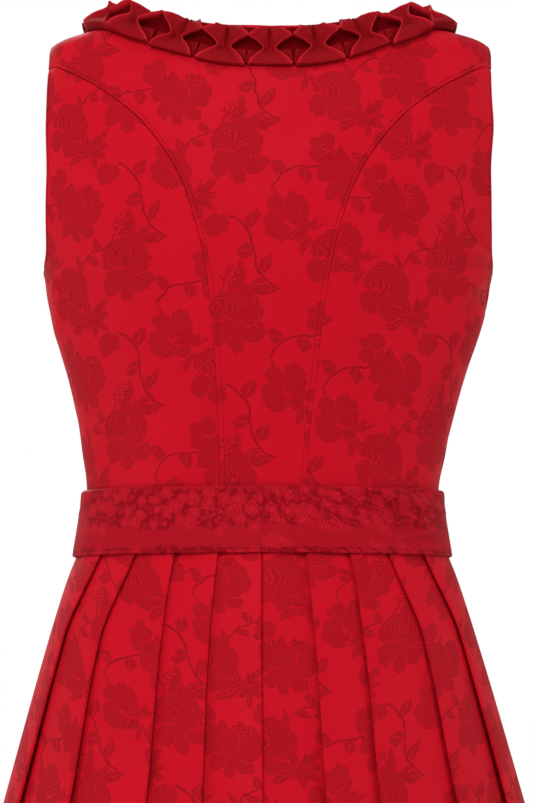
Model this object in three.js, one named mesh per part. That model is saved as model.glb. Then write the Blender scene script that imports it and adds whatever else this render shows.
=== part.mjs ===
// A dirndl with its apron, filled out as if worn: a sleeveless bodice with curved princess seams, a
// box-pleated and pinched trim round the neckline, a skirt of 20 knife pleats that all turn towards the
// centre back, and an apron whose band wraps the waist and ties in a bow at the wearer's left front.
//
// Millimetres, +Z up, the front towards -Y and the wearer's left towards +X. The tables below measure
// heights from the waist seam; the group at the end puts the origin between the two shoulder seams.
import * as THREE from "three";

// ---------------------------------------------------------------- driving sizes
const SHOULDER_HEIGHT = 380; // from the waist seam up to the shoulder seams that carry the dress
const SKIRT_LENGTH = 668; // from the waist seam down to the hem
const APRON_LENGTH = 628; // from the waist seam down to the apron's hem
const BODICE_CLOTH = 1.5; // thickness of the bodice's cloth, interlined
const SKIRT_CLOTH = 1.2;
const BAND_CLOTH = 2; // the apron band is folded double
const RIBBON_CLOTH = 1.4;
const SEAM_GAP = 0.4; // between two pieces that are sewn together
const TRIM_WIDTH = 35; // across the neckline trim
const TRIM_PLEATS = 25; // box pleats along the trim, from centre front round to centre front
const TRIM_BACK_PLEATS = 9; // of which this many lie on the back
const BAND_TOP = 22.5;
const BAND_BOTTOM = -28;

// The torso's sections: half its width, and its depth behind and before the side seams.
const TORSO = [
  { z: -10, halfWidth: 135, back: 90, front: 92 },
  { z: 22, halfWidth: 135.5, back: 90, front: 92 },
  { z: 54, halfWidth: 140, back: 92, front: 94 },
  { z: 85, halfWidth: 146.5, back: 96, front: 98 },
  { z: 115, halfWidth: 154.5, back: 100, front: 101 },
  { z: 146, halfWidth: 164, back: 104.5, front: 104.5 },
  { z: 172, halfWidth: 170.5, back: 107.5, front: 106 },
  { z: 192, halfWidth: 173.5, back: 109, front: 106 },
  { z: 225, halfWidth: 180, back: 109.5, front: 102 },
  { z: 260, halfWidth: 184.5, back: 107, front: 94 },
  { z: 295, halfWidth: 185, back: 100.5, front: 84 },
  { z: 325, halfWidth: 180.5, back: 90.5, front: 75 },
  { z: 352, halfWidth: 174, back: 77.5, front: 66 },
  { z: 366, halfWidth: 169.5, back: 71.5, front: 59 },
  { z: 371.5, halfWidth: 162, back: 68.5, front: 55 },
  { z: 376, halfWidth: 149, back: 65, front: 51 },
  { z: 381, halfWidth: 131, back: 59, front: 44.5 },
  { z: 387, halfWidth: 109.5, back: 49, front: 37.5 },
  { z: 398, halfWidth: 66, back: 29, front: 22 },
];
const CUP = { x: 74, z: 166, fullness: 24, across: 44, along: 46 }; // fullness that the front seams give
// The figure stands with its weight on one leg, which carries the waist a little to the wearer's left.
const SWAY = [
  { z: -SKIRT_LENGTH, x: 2 },
  { z: -220, x: 3 },
  { z: -60, x: 4 },
  { z: 0, x: 3.9 },
  { z: 60, x: 2.4 },
  { z: 120, x: 0.6 },
  { z: 200, x: -0.6 },
  { z: 390, x: -2 },
];

// The skirt's outer rings, over which its pleats lie, and how a pleat opens from waist to hem: the
// cloth turned under at its fold, and the distance between its three layers.
const SKIRT = [
  { z: 0, halfWidth: 137, back: 94, front: 94, under: 15.5, layer: 2.1 },
  { z: -28, halfWidth: 143.5, back: 101.5, front: 101, under: 16, layer: 2.1 },
  { z: -42, halfWidth: 149, back: 108, front: 107, under: 16.5, layer: 2.3 },
  { z: -100, halfWidth: 167, back: 127, front: 124, under: 19, layer: 3 },
  { z: -235, halfWidth: 205, back: 169, front: 162, under: 21, layer: 5.2 },
  { z: -350, halfWidth: 237, back: 204, front: 194, under: 19, layer: 7 },
  { z: -500, halfWidth: 278, back: 249, front: 236, under: 14.5, layer: 8.8 },
  { z: -SKIRT_LENGTH, halfWidth: 323, back: 298, front: 282, under: 9, layer: 10.5 },
];

// Where the pleats' folds lie, as shares of the ring from the centre back: four on each half of the
// back, then a plain width over the side seam, and narrower ones under the apron.
const BACK_FOLDS = [
  { z: 0, first: 0.044, second: 0.0875, third: 0.1315, fourth: 0.178 },
  { z: -28, first: 0.044, second: 0.0875, third: 0.1315, fourth: 0.178 },
  { z: -92, first: 0.045, second: 0.086, third: 0.146, fourth: 0.1975 },
  { z: -218, first: 0.0425, second: 0.08, third: 0.14, fourth: 0.197 },
  { z: -SKIRT_LENGTH, first: 0.044, second: 0.086, third: 0.142, fourth: 0.196 },
];
const FRONT_FOLDS_FROM = 0.3;
const FRONT_FOLDS = 5;

// Seams and edges of the wearer's left half, each from the waist upwards or from the centre outwards.
const BACK_PRINCESS = [
  { x: 31, z: 0 },
  { x: 32.2, z: 35 },
  { x: 34.3, z: 75 },
  { x: 37.8, z: 115 },
  { x: 41.2, z: 150 },
  { x: 46.5, z: 186 },
  { x: 54.5, z: 221 },
  { x: 66, z: 253 },
  { x: 82.5, z: 281 },
  { x: 104, z: 306.5 },
  { x: 130, z: 327.5 },
  { x: 151, z: 340.5 },
  { x: 167.3, z: 350 },
];
const FRONT_PRINCESS = [
  { x: 46, z: 0 },
  { x: 50, z: 40 },
  { x: 58, z: 85 },
  { x: 68, z: 130 },
  { x: 76, z: 166 },
  { x: 86, z: 198 },
  { x: 102, z: 226 },
  { x: 124, z: 249 },
  { x: 150, z: 268 },
];
// The armholes, from the underarm round to the shoulder's outer end.
const BACK_ARMHOLE = [
  { x: 173.5, y: 0, z: 192 },
  { x: 173, y: 22, z: 203 },
  { x: 172.5, y: 34, z: 225 },
  { x: 172, y: 41, z: 260 },
  { x: 172.5, y: 37, z: 295 },
  { x: 172, y: 27, z: 327 },
  { x: 170.5, y: 13, z: 353 },
  { x: 169.5, y: 0, z: 366 },
];
const FRONT_ARMHOLE = [
  { x: 173.5, y: 0, z: 192 },
  { x: 170, y: -28, z: 204 },
  { x: 161, y: -48, z: 230 },
  { x: 152, y: -54, z: 262 },
  { x: 149, y: -47, z: 295 },
  { x: 154, y: -35, z: 329 },
  { x: 163, y: -16, z: 354 },
  { x: 169.5, y: 0, z: 366 },
];
// The neckline, from the centre front up over the shoulder seam to the centre back.
const FRONT_NECKLINE = [
  { x: 0, z: 236 },
  { x: 30, z: 239 },
  { x: 56, z: 248 },
  { x: 76, z: 266 },
  { x: 88, z: 292 },
  { x: 96, z: 325 },
  { x: 101, z: 356 },
  { x: 103.5, z: 380 },
];
const NECK_SIDE = { x: 104, y: 0, z: 388.5 };
const BACK_NECKLINE = [
  { x: 0, z: 374 },
  { x: 30, z: 375.3 },
  { x: 50, z: 378.2 },
  { x: 68, z: 382 },
  { x: 84, z: 385.6 },
];

// ---------------------------------------------------------------- small helpers
const mix = (a, b, t) => a + (b - a) * t;
const clamp = (value, low, high) => Math.min(high, Math.max(low, value));
const vector = (x, y, z) => new THREE.Vector3(x, y, z);
const range = (count) => Array.from({ length: count }, (_, i) => i);
const mirrored = (point) => vector(-point.x, point.y, point.z);

// A smooth function through one column of a table, which never overshoots its rows.
function through(rows, key, name) {
  const ordered = [...rows].sort((a, b) => a[key] - b[key]);
  const at = ordered.map((row) => row[key]);
  const value = ordered.map((row) => row[name]);
  const last = at.length - 1;
  const chord = range(last).map((i) => (value[i + 1] - value[i]) / (at[i + 1] - at[i]));
  const slope = value.map((_, i) => {
    if (i === 0) return chord[0];
    if (i === last) return chord[last - 1];
    const turns = chord[i - 1] * chord[i] <= 0;
    return turns ? 0 : (2 * chord[i - 1] * chord[i]) / (chord[i - 1] + chord[i]);
  });
  return (where) => {
    if (where <= at[0]) return value[0] + slope[0] * (where - at[0]);
    if (where >= at[last]) return value[last] + slope[last] * (where - at[last]);
    const i = at.findIndex((_, k) => where < at[k + 1]);
    const width = at[i + 1] - at[i];
    const t = (where - at[i]) / width;
    const rise = value[i] + (value[i + 1] - value[i]) * t * t * (3 - 2 * t);
    return rise + width * t * (1 - t) * (slope[i] * (1 - t) - slope[i + 1] * t);
  };
}

// Equally spaced points on a smooth curve through the given points.
function spaced(points, count) {
  return new THREE.CatmullRomCurve3(points, false, "catmullrom", 0.5).getSpacedPoints(count);
}

// A closed wall between two grids of points with the same rows and columns. A ring's last column
// joins its first. Each cell is split along its shorter diagonal, alike on both sides.
function wall(outer, inner, ring = false) {
  const rows = outer.length;
  const columns = outer[0].length;
  const positions = [...outer.flat(), ...inner.flat()].flatMap((p) => [p.x, p.y, p.z]);
  const index = [];
  const point = (side, r, c) => side * rows * columns + r * columns + (c % columns);
  const quad = (a, b, c, d) => index.push(a, b, c, a, c, d);
  const apart = (r, c, r2, c2) => outer[r][c % columns].distanceTo(outer[r2][c2 % columns]);
  const steps = ring ? columns : columns - 1;
  for (let c = 0; c < steps; c++) {
    for (let r = 0; r < rows - 1; r++) {
      const cell = [[r, c], [r, c + 1], [r + 1, c + 1], [r + 1, c]];
      if (apart(r, c, r + 1, c + 1) > apart(r, c + 1, r + 1, c)) cell.push(cell.shift());
      quad(...cell.map(([row, column]) => point(0, row, column)));
      const [first, ...others] = cell;
      quad(...[first, ...others.reverse()].map(([row, column]) => point(1, row, column)));
    }
    const top = rows - 1;
    quad(point(1, 0, c), point(1, 0, c + 1), point(0, 0, c + 1), point(0, 0, c));
    quad(point(0, top, c), point(0, top, c + 1), point(1, top, c + 1), point(1, top, c));
  }
  if (!ring) {
    const end = columns - 1;
    for (let r = 0; r < rows - 1; r++) {
      quad(point(0, r, 0), point(0, r + 1, 0), point(1, r + 1, 0), point(1, r, 0));
      quad(point(1, r, end), point(1, r + 1, end), point(0, r + 1, end), point(0, r, end));
    }
  }
  return facingOut(positions, index);
}

const sway = through(SWAY, "z", "x");

// The geometry of a closed surface, swayed with the figure and turned so that its faces point out.
function facingOut(straightPositions, index) {
  const positions = straightPositions.map((value, i) =>
    i % 3 === 0 ? value + sway(straightPositions[i + 2]) : value);
  const p = (i) => vector(...positions.slice(3 * i, 3 * i + 3));
  let volume = 0;
  for (let i = 0; i < index.length; i += 3) {
    volume += p(index[i]).dot(p(index[i + 1]).cross(p(index[i + 2])));
  }
  if (volume < 0) index.reverse();
  const geometry = new THREE.BufferGeometry();
  geometry.setAttribute("position", new THREE.Float32BufferAttribute(positions, 3));
  geometry.setIndex(index);
  geometry.computeVertexNormals();
  return geometry;
}

// ---------------------------------------------------------------- the figure under the cloth
const torso = {
  halfWidth: through(TORSO, "z", "halfWidth"),
  back: through(TORSO, "z", "back"),
  front: through(TORSO, "z", "front"),
};

function cupFullness(x, z) {
  const across = (Math.abs(x) - CUP.x) / CUP.across;
  const along = (z - CUP.z) / CUP.along;
  return CUP.fullness * Math.exp(-across * across - along * along);
}

// Below zero inside the bodice's outer surface, zero on it.
function level(p) {
  const depth = p.y >= 0 ? torso.back(p.z) : torso.front(p.z) + cupFullness(p.x, p.z);
  return (p.x / torso.halfWidth(p.z)) ** 2 + (p.y / depth) ** 2 - 1;
}

function gradient(p) {
  const step = 0.02;
  const slopeAlong = (dx, dy, dz) => {
    const ahead = level(vector(p.x + dx, p.y + dy, p.z + dz));
    const behind = level(vector(p.x - dx, p.y - dy, p.z - dz));
    return (ahead - behind) / (2 * step);
  };
  return vector(slopeAlong(step, 0, 0), slopeAlong(0, step, 0), slopeAlong(0, 0, step));
}

const outward = (p) => gradient(p).normalize();

// The nearest point of the bodice's outer surface.
function onTorso(start) {
  let p = start.clone();
  for (let i = 0; i < 8; i++) {
    const slope = gradient(p);
    p = p.addScaledVector(slope, clamp(-level(p) / slope.lengthSq(), -400, 400));
  }
  return p;
}

const lifted = (p, height) => p.clone().addScaledVector(outward(p), height);

// The point of the back (face 1) or front (face -1) at a width and height.
function onFace({ x, z }, face) {
  const depth = face > 0 ? torso.back(z) : torso.front(z) + cupFullness(x, z);
  const y = face * depth * Math.sqrt(Math.max(0, 1 - (x / torso.halfWidth(z)) ** 2));
  return onTorso(vector(x, y, z));
}

const faceCurve = (rows, face, count) =>
  spaced(rows.map((row) => onFace(row, face)), count).map(onTorso);
const spaceCurve = (rows, count) =>
  spaced(rows.map((row) => onTorso(vector(row.x, row.y, row.z))), count).map(onTorso);

// ---------------------------------------------------------------- bodice panels
const SEAM_STEPS = 12; // along a princess seam
const SIDE_COLUMNS = 6;
const NECK_COLUMNS = 5; // of the back's middle, along half the neckline
const SHOULDER_COLUMNS = 3;
const FRONT_COLUMNS = 6;
const FRONT_NECK_STEPS = 7;

// Fills four edges with a grid on the torso: bottom and top run across, left and right run up.
function patch(bottom, top, left, right) {
  const across = bottom.length - 1;
  const up = left.length - 1;
  const corner = [bottom[0], bottom[across], top[0], top[across]];
  return left.map((_, r) =>
    bottom.map((_, c) => {
      if (r === 0) return bottom[c];
      if (r === up) return top[c];
      if (c === 0) return left[r];
      if (c === across) return right[r];
      const u = c / across;
      const v = r / up;
      const blend = vector(0, 0, 0)
        .addScaledVector(bottom[c], 1 - v)
        .addScaledVector(top[c], v)
        .addScaledVector(left[r], 1 - u)
        .addScaledVector(right[r], u)
        .addScaledVector(corner[0], -(1 - u) * (1 - v))
        .addScaledVector(corner[1], -u * (1 - v))
        .addScaledVector(corner[2], -(1 - u) * v)
        .addScaledVector(corner[3], -u * v);
      return onTorso(blend);
    }),
  );
}

// Moves a line of points sideways on the torso; a positive shift is towards the side of the body.
function shifted(points, shift) {
  return points.map((p, i) => {
    const ahead = points[Math.min(i + 1, points.length - 1)];
    const behind = points[Math.max(i - 1, 0)];
    const along = ahead.clone().sub(behind).normalize();
    const aside = along.cross(outward(p));
    if (aside.x < 0) aside.negate();
    return onTorso(p.clone().addScaledVector(aside, shift));
  });
}

// Points of the waist seam between two heights of arc, found by stepping round the section.
function waistLine(from, to, count) {
  const turn = (p) => Math.atan2(p.x / torso.halfWidth(p.z), p.y / torso.back(p.z));
  const [start, end] = [turn(from), turn(to)];
  return range(count + 1).map((i) => {
    if (i === 0) return from;
    if (i === count) return to;
    const angle = mix(start, end, i / count);
    const height = mix(from.z, to.z, i / count);
    return onTorso(vector(150 * Math.sin(angle), 100 * Math.cos(angle), height));
  });
}

const straight = (from, to, count) =>
  range(count + 1).map((i) => onTorso(from.clone().lerp(to, i / count)));

// The edges that one half of the back or front shares between its two panels.
function halfEdges(face) {
  const back = face > 0;
  const armhole = spaceCurve(back ? BACK_ARMHOLE : FRONT_ARMHOLE, 60);
  const princess = faceCurve(back ? BACK_PRINCESS : FRONT_PRINCESS, face, SEAM_STEPS);
  const seamEnd = princess[SEAM_STEPS];
  const meet = armhole.reduce((best, p, i) =>
    p.distanceTo(seamEnd) < armhole[best].distanceTo(seamEnd) ? i : best, 0);
  princess[SEAM_STEPS] = armhole[meet];
  return { armhole, princess, meet };
}

function sidePanel(face) {
  const { armhole, princess, meet } = halfEdges(face);
  const inner = shifted(princess, SEAM_GAP / 2);
  const sideSeam = (z) => vector(torso.halfWidth(z), face * SEAM_GAP / 2, z);
  const underarm = armhole[0].z;
  const rise = underarm + armhole[meet].distanceTo(armhole[0]);
  const outer = range(SEAM_STEPS + 1).map((i) => {
    const height = (rise * i) / SEAM_STEPS;
    if (height < underarm) return sideSeam(height);
    const t = ((height - underarm) / (rise - underarm)) * meet;
    const k = Math.min(Math.floor(t), meet - 1);
    return onTorso(armhole[k].clone().lerp(armhole[k + 1], t - k));
  });
  outer[0] = sideSeam(SEAM_GAP / 2);
  inner[0].z = SEAM_GAP / 2;
  inner[0] = onTorso(inner[0]);
  const tip = outer[SEAM_STEPS];
  inner[SEAM_STEPS] = onTorso(tip.clone().lerp(inner[SEAM_STEPS - 1], 0.2));
  const top = straight(inner[SEAM_STEPS], tip, SIDE_COLUMNS);
  return patch(waistLine(inner[0], outer[0], SIDE_COLUMNS), top, inner, outer);
}

function neckEdge(face, count) {
  const rows = face > 0 ? BACK_NECKLINE : FRONT_NECKLINE;
  const end = vector(NECK_SIDE.x, face * SEAM_GAP / 2, NECK_SIDE.z);
  return spaced([...rows.map((row) => onFace(row, face)), onTorso(end)], count).map(onTorso);
}

// The outer edge of a middle half: up the princess seam, then the armhole to the shoulder's end.
function outerEdge(face, armSteps) {
  const { armhole, princess, meet } = halfEdges(face);
  const seam = shifted(princess, -SEAM_GAP / 2);
  seam[0] = onTorso(vector(seam[0].x, seam[0].y, SEAM_GAP / 2));
  seam[SEAM_STEPS] = onTorso(seam[SEAM_STEPS].clone().lerp(armhole[meet + 1], 0.25));
  const last = armhole.length - 1;
  const shoulderTip = onTorso(vector(armhole[last].x, face * SEAM_GAP / 2, armhole[last].z));
  const arm = range(armSteps).map((i) => {
    if (i === armSteps - 1) return shoulderTip;
    return armhole[Math.round(mix(meet + 1, last, (i + 1) / armSteps))];
  });
  return [...seam, ...arm];
}

function centreLine(face, x, top, steps) {
  return range(steps + 1).map((i) => onFace({ x, z: mix(SEAM_GAP / 2, top, i / steps) }, face));
}

// Half of the back's middle panel: the neckline and the shoulder seam are its upper edge.
function backMiddleHalf() {
  const outer = outerEdge(1, 2);
  const up = outer.length - 1;
  const neck = neckEdge(1, NECK_COLUMNS);
  const shoulder = straight(neck[NECK_COLUMNS], outer[up], SHOULDER_COLUMNS);
  const top = [...neck, ...shoulder.slice(1)];
  const middle = centreLine(1, 0, neck[0].z, up);
  top[0] = middle[up];
  return patch(waistLine(middle[0], outer[0], top.length - 1), top, middle, outer);
}

// A front middle panel: its inner edge runs up the closing and on round the scooped neckline.
function frontMiddleHalf() {
  const outer = outerEdge(-1, 3);
  const closingSteps = outer.length - 1 - FRONT_NECK_STEPS;
  const neck = neckEdge(-1, FRONT_NECK_STEPS);
  const closing = centreLine(-1, SEAM_GAP / 2, neck[0].z, closingSteps);
  const inner = [...closing, ...neck.slice(1)];
  const top = straight(neck[FRONT_NECK_STEPS], outer[outer.length - 1], FRONT_COLUMNS);
  return patch(waistLine(inner[0], outer[0], FRONT_COLUMNS), top, inner, outer);
}

const inside = (grid, cloth) => grid.map((row) => row.map((p) => lifted(p, -cloth)));
const mirrorGrid = (grid) => grid.map((row) => row.map(mirrored));
const bodiceWall = (grid) => wall(grid, inside(grid, BODICE_CLOTH));

// ---------------------------------------------------------------- neckline trim
// Along the trim, box pleats meet at pinched points and are nipped again across their middles, so
// that each fold edge zigzags and an open mouth shows between two pleats. Across is 0 at the neck.
const TRIM_ROWS = [
  { across: 0, halfBox: 0.32, fold: 3.2, middle: 2.6, mouth: 1.6 },
  { across: 0.17, halfBox: 0.39, fold: 6, middle: 3.4, mouth: 1.9 },
  { across: 0.34, halfBox: 0.455, fold: 8.8, middle: 3.4, mouth: 4.6 },
  { across: 0.62, halfBox: 0.18, fold: 6.8, middle: 2.6, mouth: 2.4 },
  { across: 0.82, halfBox: 0.33, fold: 6.6, middle: 4.6, mouth: 1.5 },
  { across: 1, halfBox: 0.44, fold: 5.2, middle: 4.2, mouth: 1.5 },
];
const TRIM_CLEARANCE = 0.8; // between the bodice and the back of the trim
const TRIM_SET_IN = 3.6; // from the neck edge to the trim
const FOLD_FOOT = 0.035; // of a pleat, the run of a fold's steep side
const TRIM_END_GAP = 0.4; // left at each end of a length of trim
const SHOULDER_SWELL = { height: 0.8, pleats: 2.1 }; // pleats stand taller where they bend round it

function neckCurve() {
  const half = [
    ...FRONT_NECKLINE.map((row) => onFace(row, -1)),
    onTorso(vector(NECK_SIDE.x, NECK_SIDE.y, NECK_SIDE.z)),
    ...[...BACK_NECKLINE].reverse().map((row) => onFace(row, 1)),
  ];
  const otherHalf = half.slice(1, -1).map(mirrored).reverse();
  return new THREE.CatmullRomCurve3([...half, ...otherHalf], true, "catmullrom", 0.5);
}

const neckLine = neckCurve();
neckLine.arcLengthDivisions = 600;
const neckLength = neckLine.getLength();

// A point of the trim: its place along the neckline, across the strip, and above the bodice.
function trimPoint(along, across, height) {
  const edge = onTorso(neckLine.getPointAt(clamp(along, 0, 1)));
  const tangent = neckLine.getTangentAt(clamp(along, 0, 1));
  const away = tangent.clone().cross(outward(edge)).normalize();
  let p = edge;
  const steps = 3;
  const reach = (TRIM_SET_IN + across * TRIM_WIDTH) / steps;
  for (let i = 0; i < steps; i++) p = onTorso(p.clone().addScaledVector(away, reach));
  const fromCentre = Math.abs(along - 0.5) * TRIM_PLEATS;
  const fromShoulder = (fromCentre - TRIM_BACK_PLEATS / 2) / SHOULDER_SWELL.pleats;
  const swell = 1 + SHOULDER_SWELL.height * Math.exp(-fromShoulder * fromShoulder);
  return lifted(p, TRIM_CLEARANCE + height * swell);
}

function trimWall(firstPleat, pleats) {
  const shape = (row) => [
    { place: 0, height: row.mouth },
    { place: Math.max(0.02, 0.5 - row.halfBox - FOLD_FOOT), height: row.mouth + 0.5 },
    { place: 0.5 - row.halfBox, height: row.fold },
    { place: 0.5, height: row.middle },
    { place: 0.5 + row.halfBox, height: row.fold },
    { place: Math.min(0.98, 0.5 + row.halfBox + FOLD_FOOT), height: row.mouth + 0.5 },
  ];
  const ends = TRIM_END_GAP / (neckLength / TRIM_PLEATS);
  const outer = [];
  const inner = [];
  for (const row of TRIM_ROWS) {
    const columns = range(pleats).flatMap((k) =>
      shape(row).map((s) => ({ along: firstPleat + k + s.place, height: s.height })));
    columns[0].along += ends;
    columns.push({ along: firstPleat + pleats - ends, height: row.mouth });
    outer.push(columns.map((c) => trimPoint(c.along / TRIM_PLEATS, row.across, c.height)));
    inner.push(columns.map((c) => trimPoint(c.along / TRIM_PLEATS, row.across, 0)));
  }
  return wall(outer, inner);
}

// ---------------------------------------------------------------- rings round the body
// A ring of the given half width and depths: maps a share of its length, from the centre back over
// the wearer's left, and a distance outwards, to a point.
const RING_STEPS = 240;

function ring({ halfWidth, back, front, z }) {
  const at = range(RING_STEPS + 1).map((i) => {
    const angle = (2 * Math.PI * i) / RING_STEPS;
    const depth = Math.cos(angle) >= 0 ? back : front;
    return { x: halfWidth * Math.sin(angle), y: depth * Math.cos(angle) };
  });
  const length = [0];
  for (let i = 1; i <= RING_STEPS; i++) {
    length.push(length[i - 1] + Math.hypot(at[i].x - at[i - 1].x, at[i].y - at[i - 1].y));
  }
  const total = length[RING_STEPS];
  const place = (share, out = 0) => {
    const wanted = (((share % 1) + 1) % 1) * total;
    const i = Math.min(length.findIndex((_, k) => wanted <= length[k + 1]), RING_STEPS - 1);
    const t = (wanted - length[i]) / (length[i + 1] - length[i]);
    const x = mix(at[i].x, at[i + 1].x, t);
    const y = mix(at[i].y, at[i + 1].y, t);
    const depth = y >= 0 ? back : front;
    const normal = vector(x / halfWidth ** 2, y / depth ** 2, 0).normalize();
    return vector(x, y, z).addScaledVector(normal, out);
  };
  return { place, total };
}

const skirtColumn = Object.fromEntries(
  ["halfWidth", "back", "front", "under", "layer"].map((name) => [name, through(SKIRT, "z", name)]),
);
const skirtRing = (z) =>
  ring({
    z,
    halfWidth: skirtColumn.halfWidth(z),
    back: skirtColumn.back(z),
    front: skirtColumn.front(z),
  });

// ---------------------------------------------------------------- skirt
const CENTRE_SLIT = 1; // half the opening between the two folds that meet at the centre back
const FACE_STEPS = 2;
const SIDE_FACE = 4; // the fold whose plain wide face lies over the side seam
const SIDE_FACE_STEPS = 8;

const foldColumns = ["first", "second", "third", "fourth"].map((name) => through(BACK_FOLDS, "z", name));

// The shares of all folds of one half at a height, from the centre back to the centre front.
function foldShares(z) {
  const front = range(FRONT_FOLDS + 1).map((i) => mix(FRONT_FOLDS_FROM, 0.5, i / FRONT_FOLDS));
  return [0, ...foldColumns.map((column) => column(z)), ...front];
}

// The cloth's path over the pleats of one half at a height, as shares of the ring and a depth. Each
// face is outermost at its own fold edge and slopes in until it passes under the next one.
function pleatPath(z, total) {
  const under = skirtColumn.under(z) / total;
  const layer = skirtColumn.layer(z);
  const slit = CENTRE_SLIT / total;
  const folds = foldShares(z);
  const last = folds.length - 1;
  const path = [
    { share: 0, out: -3.2 * layer },
    { share: under, out: -3.2 * layer },
    { share: under, out: -1.9 * layer },
    { share: slit, out: -layer },
  ];
  for (let k = 0; k < last; k++) {
    const steps = k === SIDE_FACE ? SIDE_FACE_STEPS : FACE_STEPS;
    for (let i = 0; i <= steps; i++) {
      const t = i / steps;
      const slope = k === SIDE_FACE ? t ** 3 : t;
      const seam = k === SIDE_FACE && 2 * i === steps;
      path.push({ share: Math.max(mix(folds[k], folds[k + 1], t), slit), out: -2 * layer * slope, seam });
    }
    if (k === last - 1) break;
    path.push({ share: folds[k + 1] + under, out: -2.9 * layer });
    path.push({ share: folds[k + 1] + under, out: -1.9 * layer }, { share: folds[k + 1], out: -layer });
  }
  return path;
}

// Offsets an open line of points in its own level by half the cloth to each side.
function bothSides(line, cloth) {
  return [cloth / 2, -cloth / 2].map((distance) =>
    line.map((p, i) => {
      const before = i > 0 ? p.clone().sub(line[i - 1]).normalize() : null;
      const after = i < line.length - 1 ? line[i + 1].clone().sub(p).normalize() : null;
      const a = before ?? after;
      const b = after ?? before;
      const normals = [a, b].map((d) => vector(d.y, -d.x, 0));
      const sum = normals[0].clone().add(normals[1]);
      const miter = sum.normalize();
      const stretch = 1 / Math.max(0.55, miter.dot(normals[0]));
      return p.clone().addScaledVector(miter, distance * stretch);
    }),
  );
}

// The pleats' path at one height, from one side seam to the other over the back or the front.
function skirtLine(z, back) {
  const { place, total } = skirtRing(z);
  const path = pleatPath(z, total);
  const seam = path.findIndex((p) => p.seam);
  const half = back ? path.slice(0, seam + 1) : path.slice(seam);
  const gap = ((back ? -1 : 1) * SEAM_GAP) / 2 / total;
  const left = half.map((p, i) => {
    const atSeam = back ? i === half.length - 1 : i === 0;
    return { share: p.share + (atSeam ? gap : 0), out: p.out };
  });
  const right = left.map((p) => ({ share: -p.share, out: p.out }));
  const whole = back ? [...[...right].reverse().slice(0, -1), ...left] : [...left, ...[...right].reverse().slice(1)];
  return whole.map((p) => place(p.share, p.out));
}

function skirtWall(back) {
  const heights = SKIRT.map((row) => (row.z === 0 ? -SEAM_GAP / 2 : row.z));
  const sides = heights.map((z) => bothSides(skirtLine(z, back), SKIRT_CLOTH));
  return wall(sides.map((s) => s[0]), sides.map((s) => s[1]));
}

// ---------------------------------------------------------------- apron
const BAND_COLUMNS = 60;
const BAND_ROWS = [
  { z: BAND_TOP, halfWidth: 137.6, back: 92.2, front: 94.8 },
  { z: 6, halfWidth: 139, back: 95, front: 96.6 },
  { z: -10, halfWidth: 141.4, back: 98.4, front: 98.6 },
  { z: BAND_BOTTOM, halfWidth: 144.6, back: 102.6, front: 102.4 },
];

function bandWall() {
  const rings = BAND_ROWS.map(ring);
  const grid = (out) => rings.map((r) => range(BAND_COLUMNS).map((i) => r.place(i / BAND_COLUMNS, out)));
  return wall(grid(BAND_CLOTH), grid(0), true);
}

// The apron's gathered cloth, on rings of its own outside the skirt.
const APRON = [
  { z: BAND_BOTTOM - SEAM_GAP, halfSpan: 0.172, clear: 2.6, gather: 1.6 },
  { z: -60, halfSpan: 0.172, clear: 4.2, gather: 2.4 },
  { z: -140, halfSpan: 0.17, clear: 6.5, gather: 3.4 },
  { z: -260, halfSpan: 0.166, clear: 9, gather: 4.8 },
  { z: -430, halfSpan: 0.162, clear: 11.5, gather: 6.2 },
  { z: -APRON_LENGTH, halfSpan: 0.158, clear: 14, gather: 7.6 },
];
const APRON_GATHERS = 19;
const APRON_COLUMNS = 3 * APRON_GATHERS;
// Each gather's own width and depth against the average, so that no two neighbours are alike.
const GATHER_RHYTHM = [1, 0.8, 1.15, 0.9, 1.05, 0.75, 1.2];

function apronGather(column) {
  const phase = (column / APRON_COLUMNS) * APRON_GATHERS;
  const depth = GATHER_RHYTHM[Math.floor(phase) % GATHER_RHYTHM.length];
  return depth * 0.5 * (1 - Math.cos(2 * Math.PI * phase));
}

function apronPoint(row, column, out) {
  const share = mix(-row.halfSpan, row.halfSpan, column / APRON_COLUMNS);
  return skirtRing(row.z).place(0.5 + share, row.clear + row.gather * 2 * apronGather(column) + out);
}

function apronWall() {
  const grid = (out) => APRON.map((row) => range(APRON_COLUMNS + 1).map((c) => apronPoint(row, c, out)));
  return wall(grid(SKIRT_CLOTH), grid(0));
}

// ---------------------------------------------------------------- bow
// The bow sits on the band at the wearer's left front. Its frame: x along the band, y out, z up.
const BOW_SHARE = 0.436; // of the way round the waist from the centre back
const BOW_HEIGHT = -4;
const KNOT = { halfWidth: 13, halfHeight: 19, depth: 15 };
const LOOP = { length: 84, halfWidth: 21, pinched: 11, drop: 9 };
const TAIL = { length: 360, halfWidth: 25, pinched: 10, clear: 12, hang: 21 };

// The ring outside the band, and below it outside the apron.
function outsideRing(z) {
  const column = (name) => through(BAND_ROWS, "z", name)(clamp(z, BAND_BOTTOM, BAND_TOP)) + BAND_CLOTH;
  const fall = Math.max(0, BAND_BOTTOM + 8 - z);
  const flare = 0.75 * fall;
  const size = { halfWidth: column("halfWidth"), back: column("back"), front: column("front") };
  return ring({
    z,
    halfWidth: size.halfWidth + flare,
    back: size.back + flare,
    front: size.front + flare,
  });
}

// A point near the bow: along the band from the knot, out from the band, and above the knot.
function bowPoint(along, out, up) {
  const r = outsideRing(BOW_HEIGHT + up);
  return r.place(BOW_SHARE + along / r.total, out);
}

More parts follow.
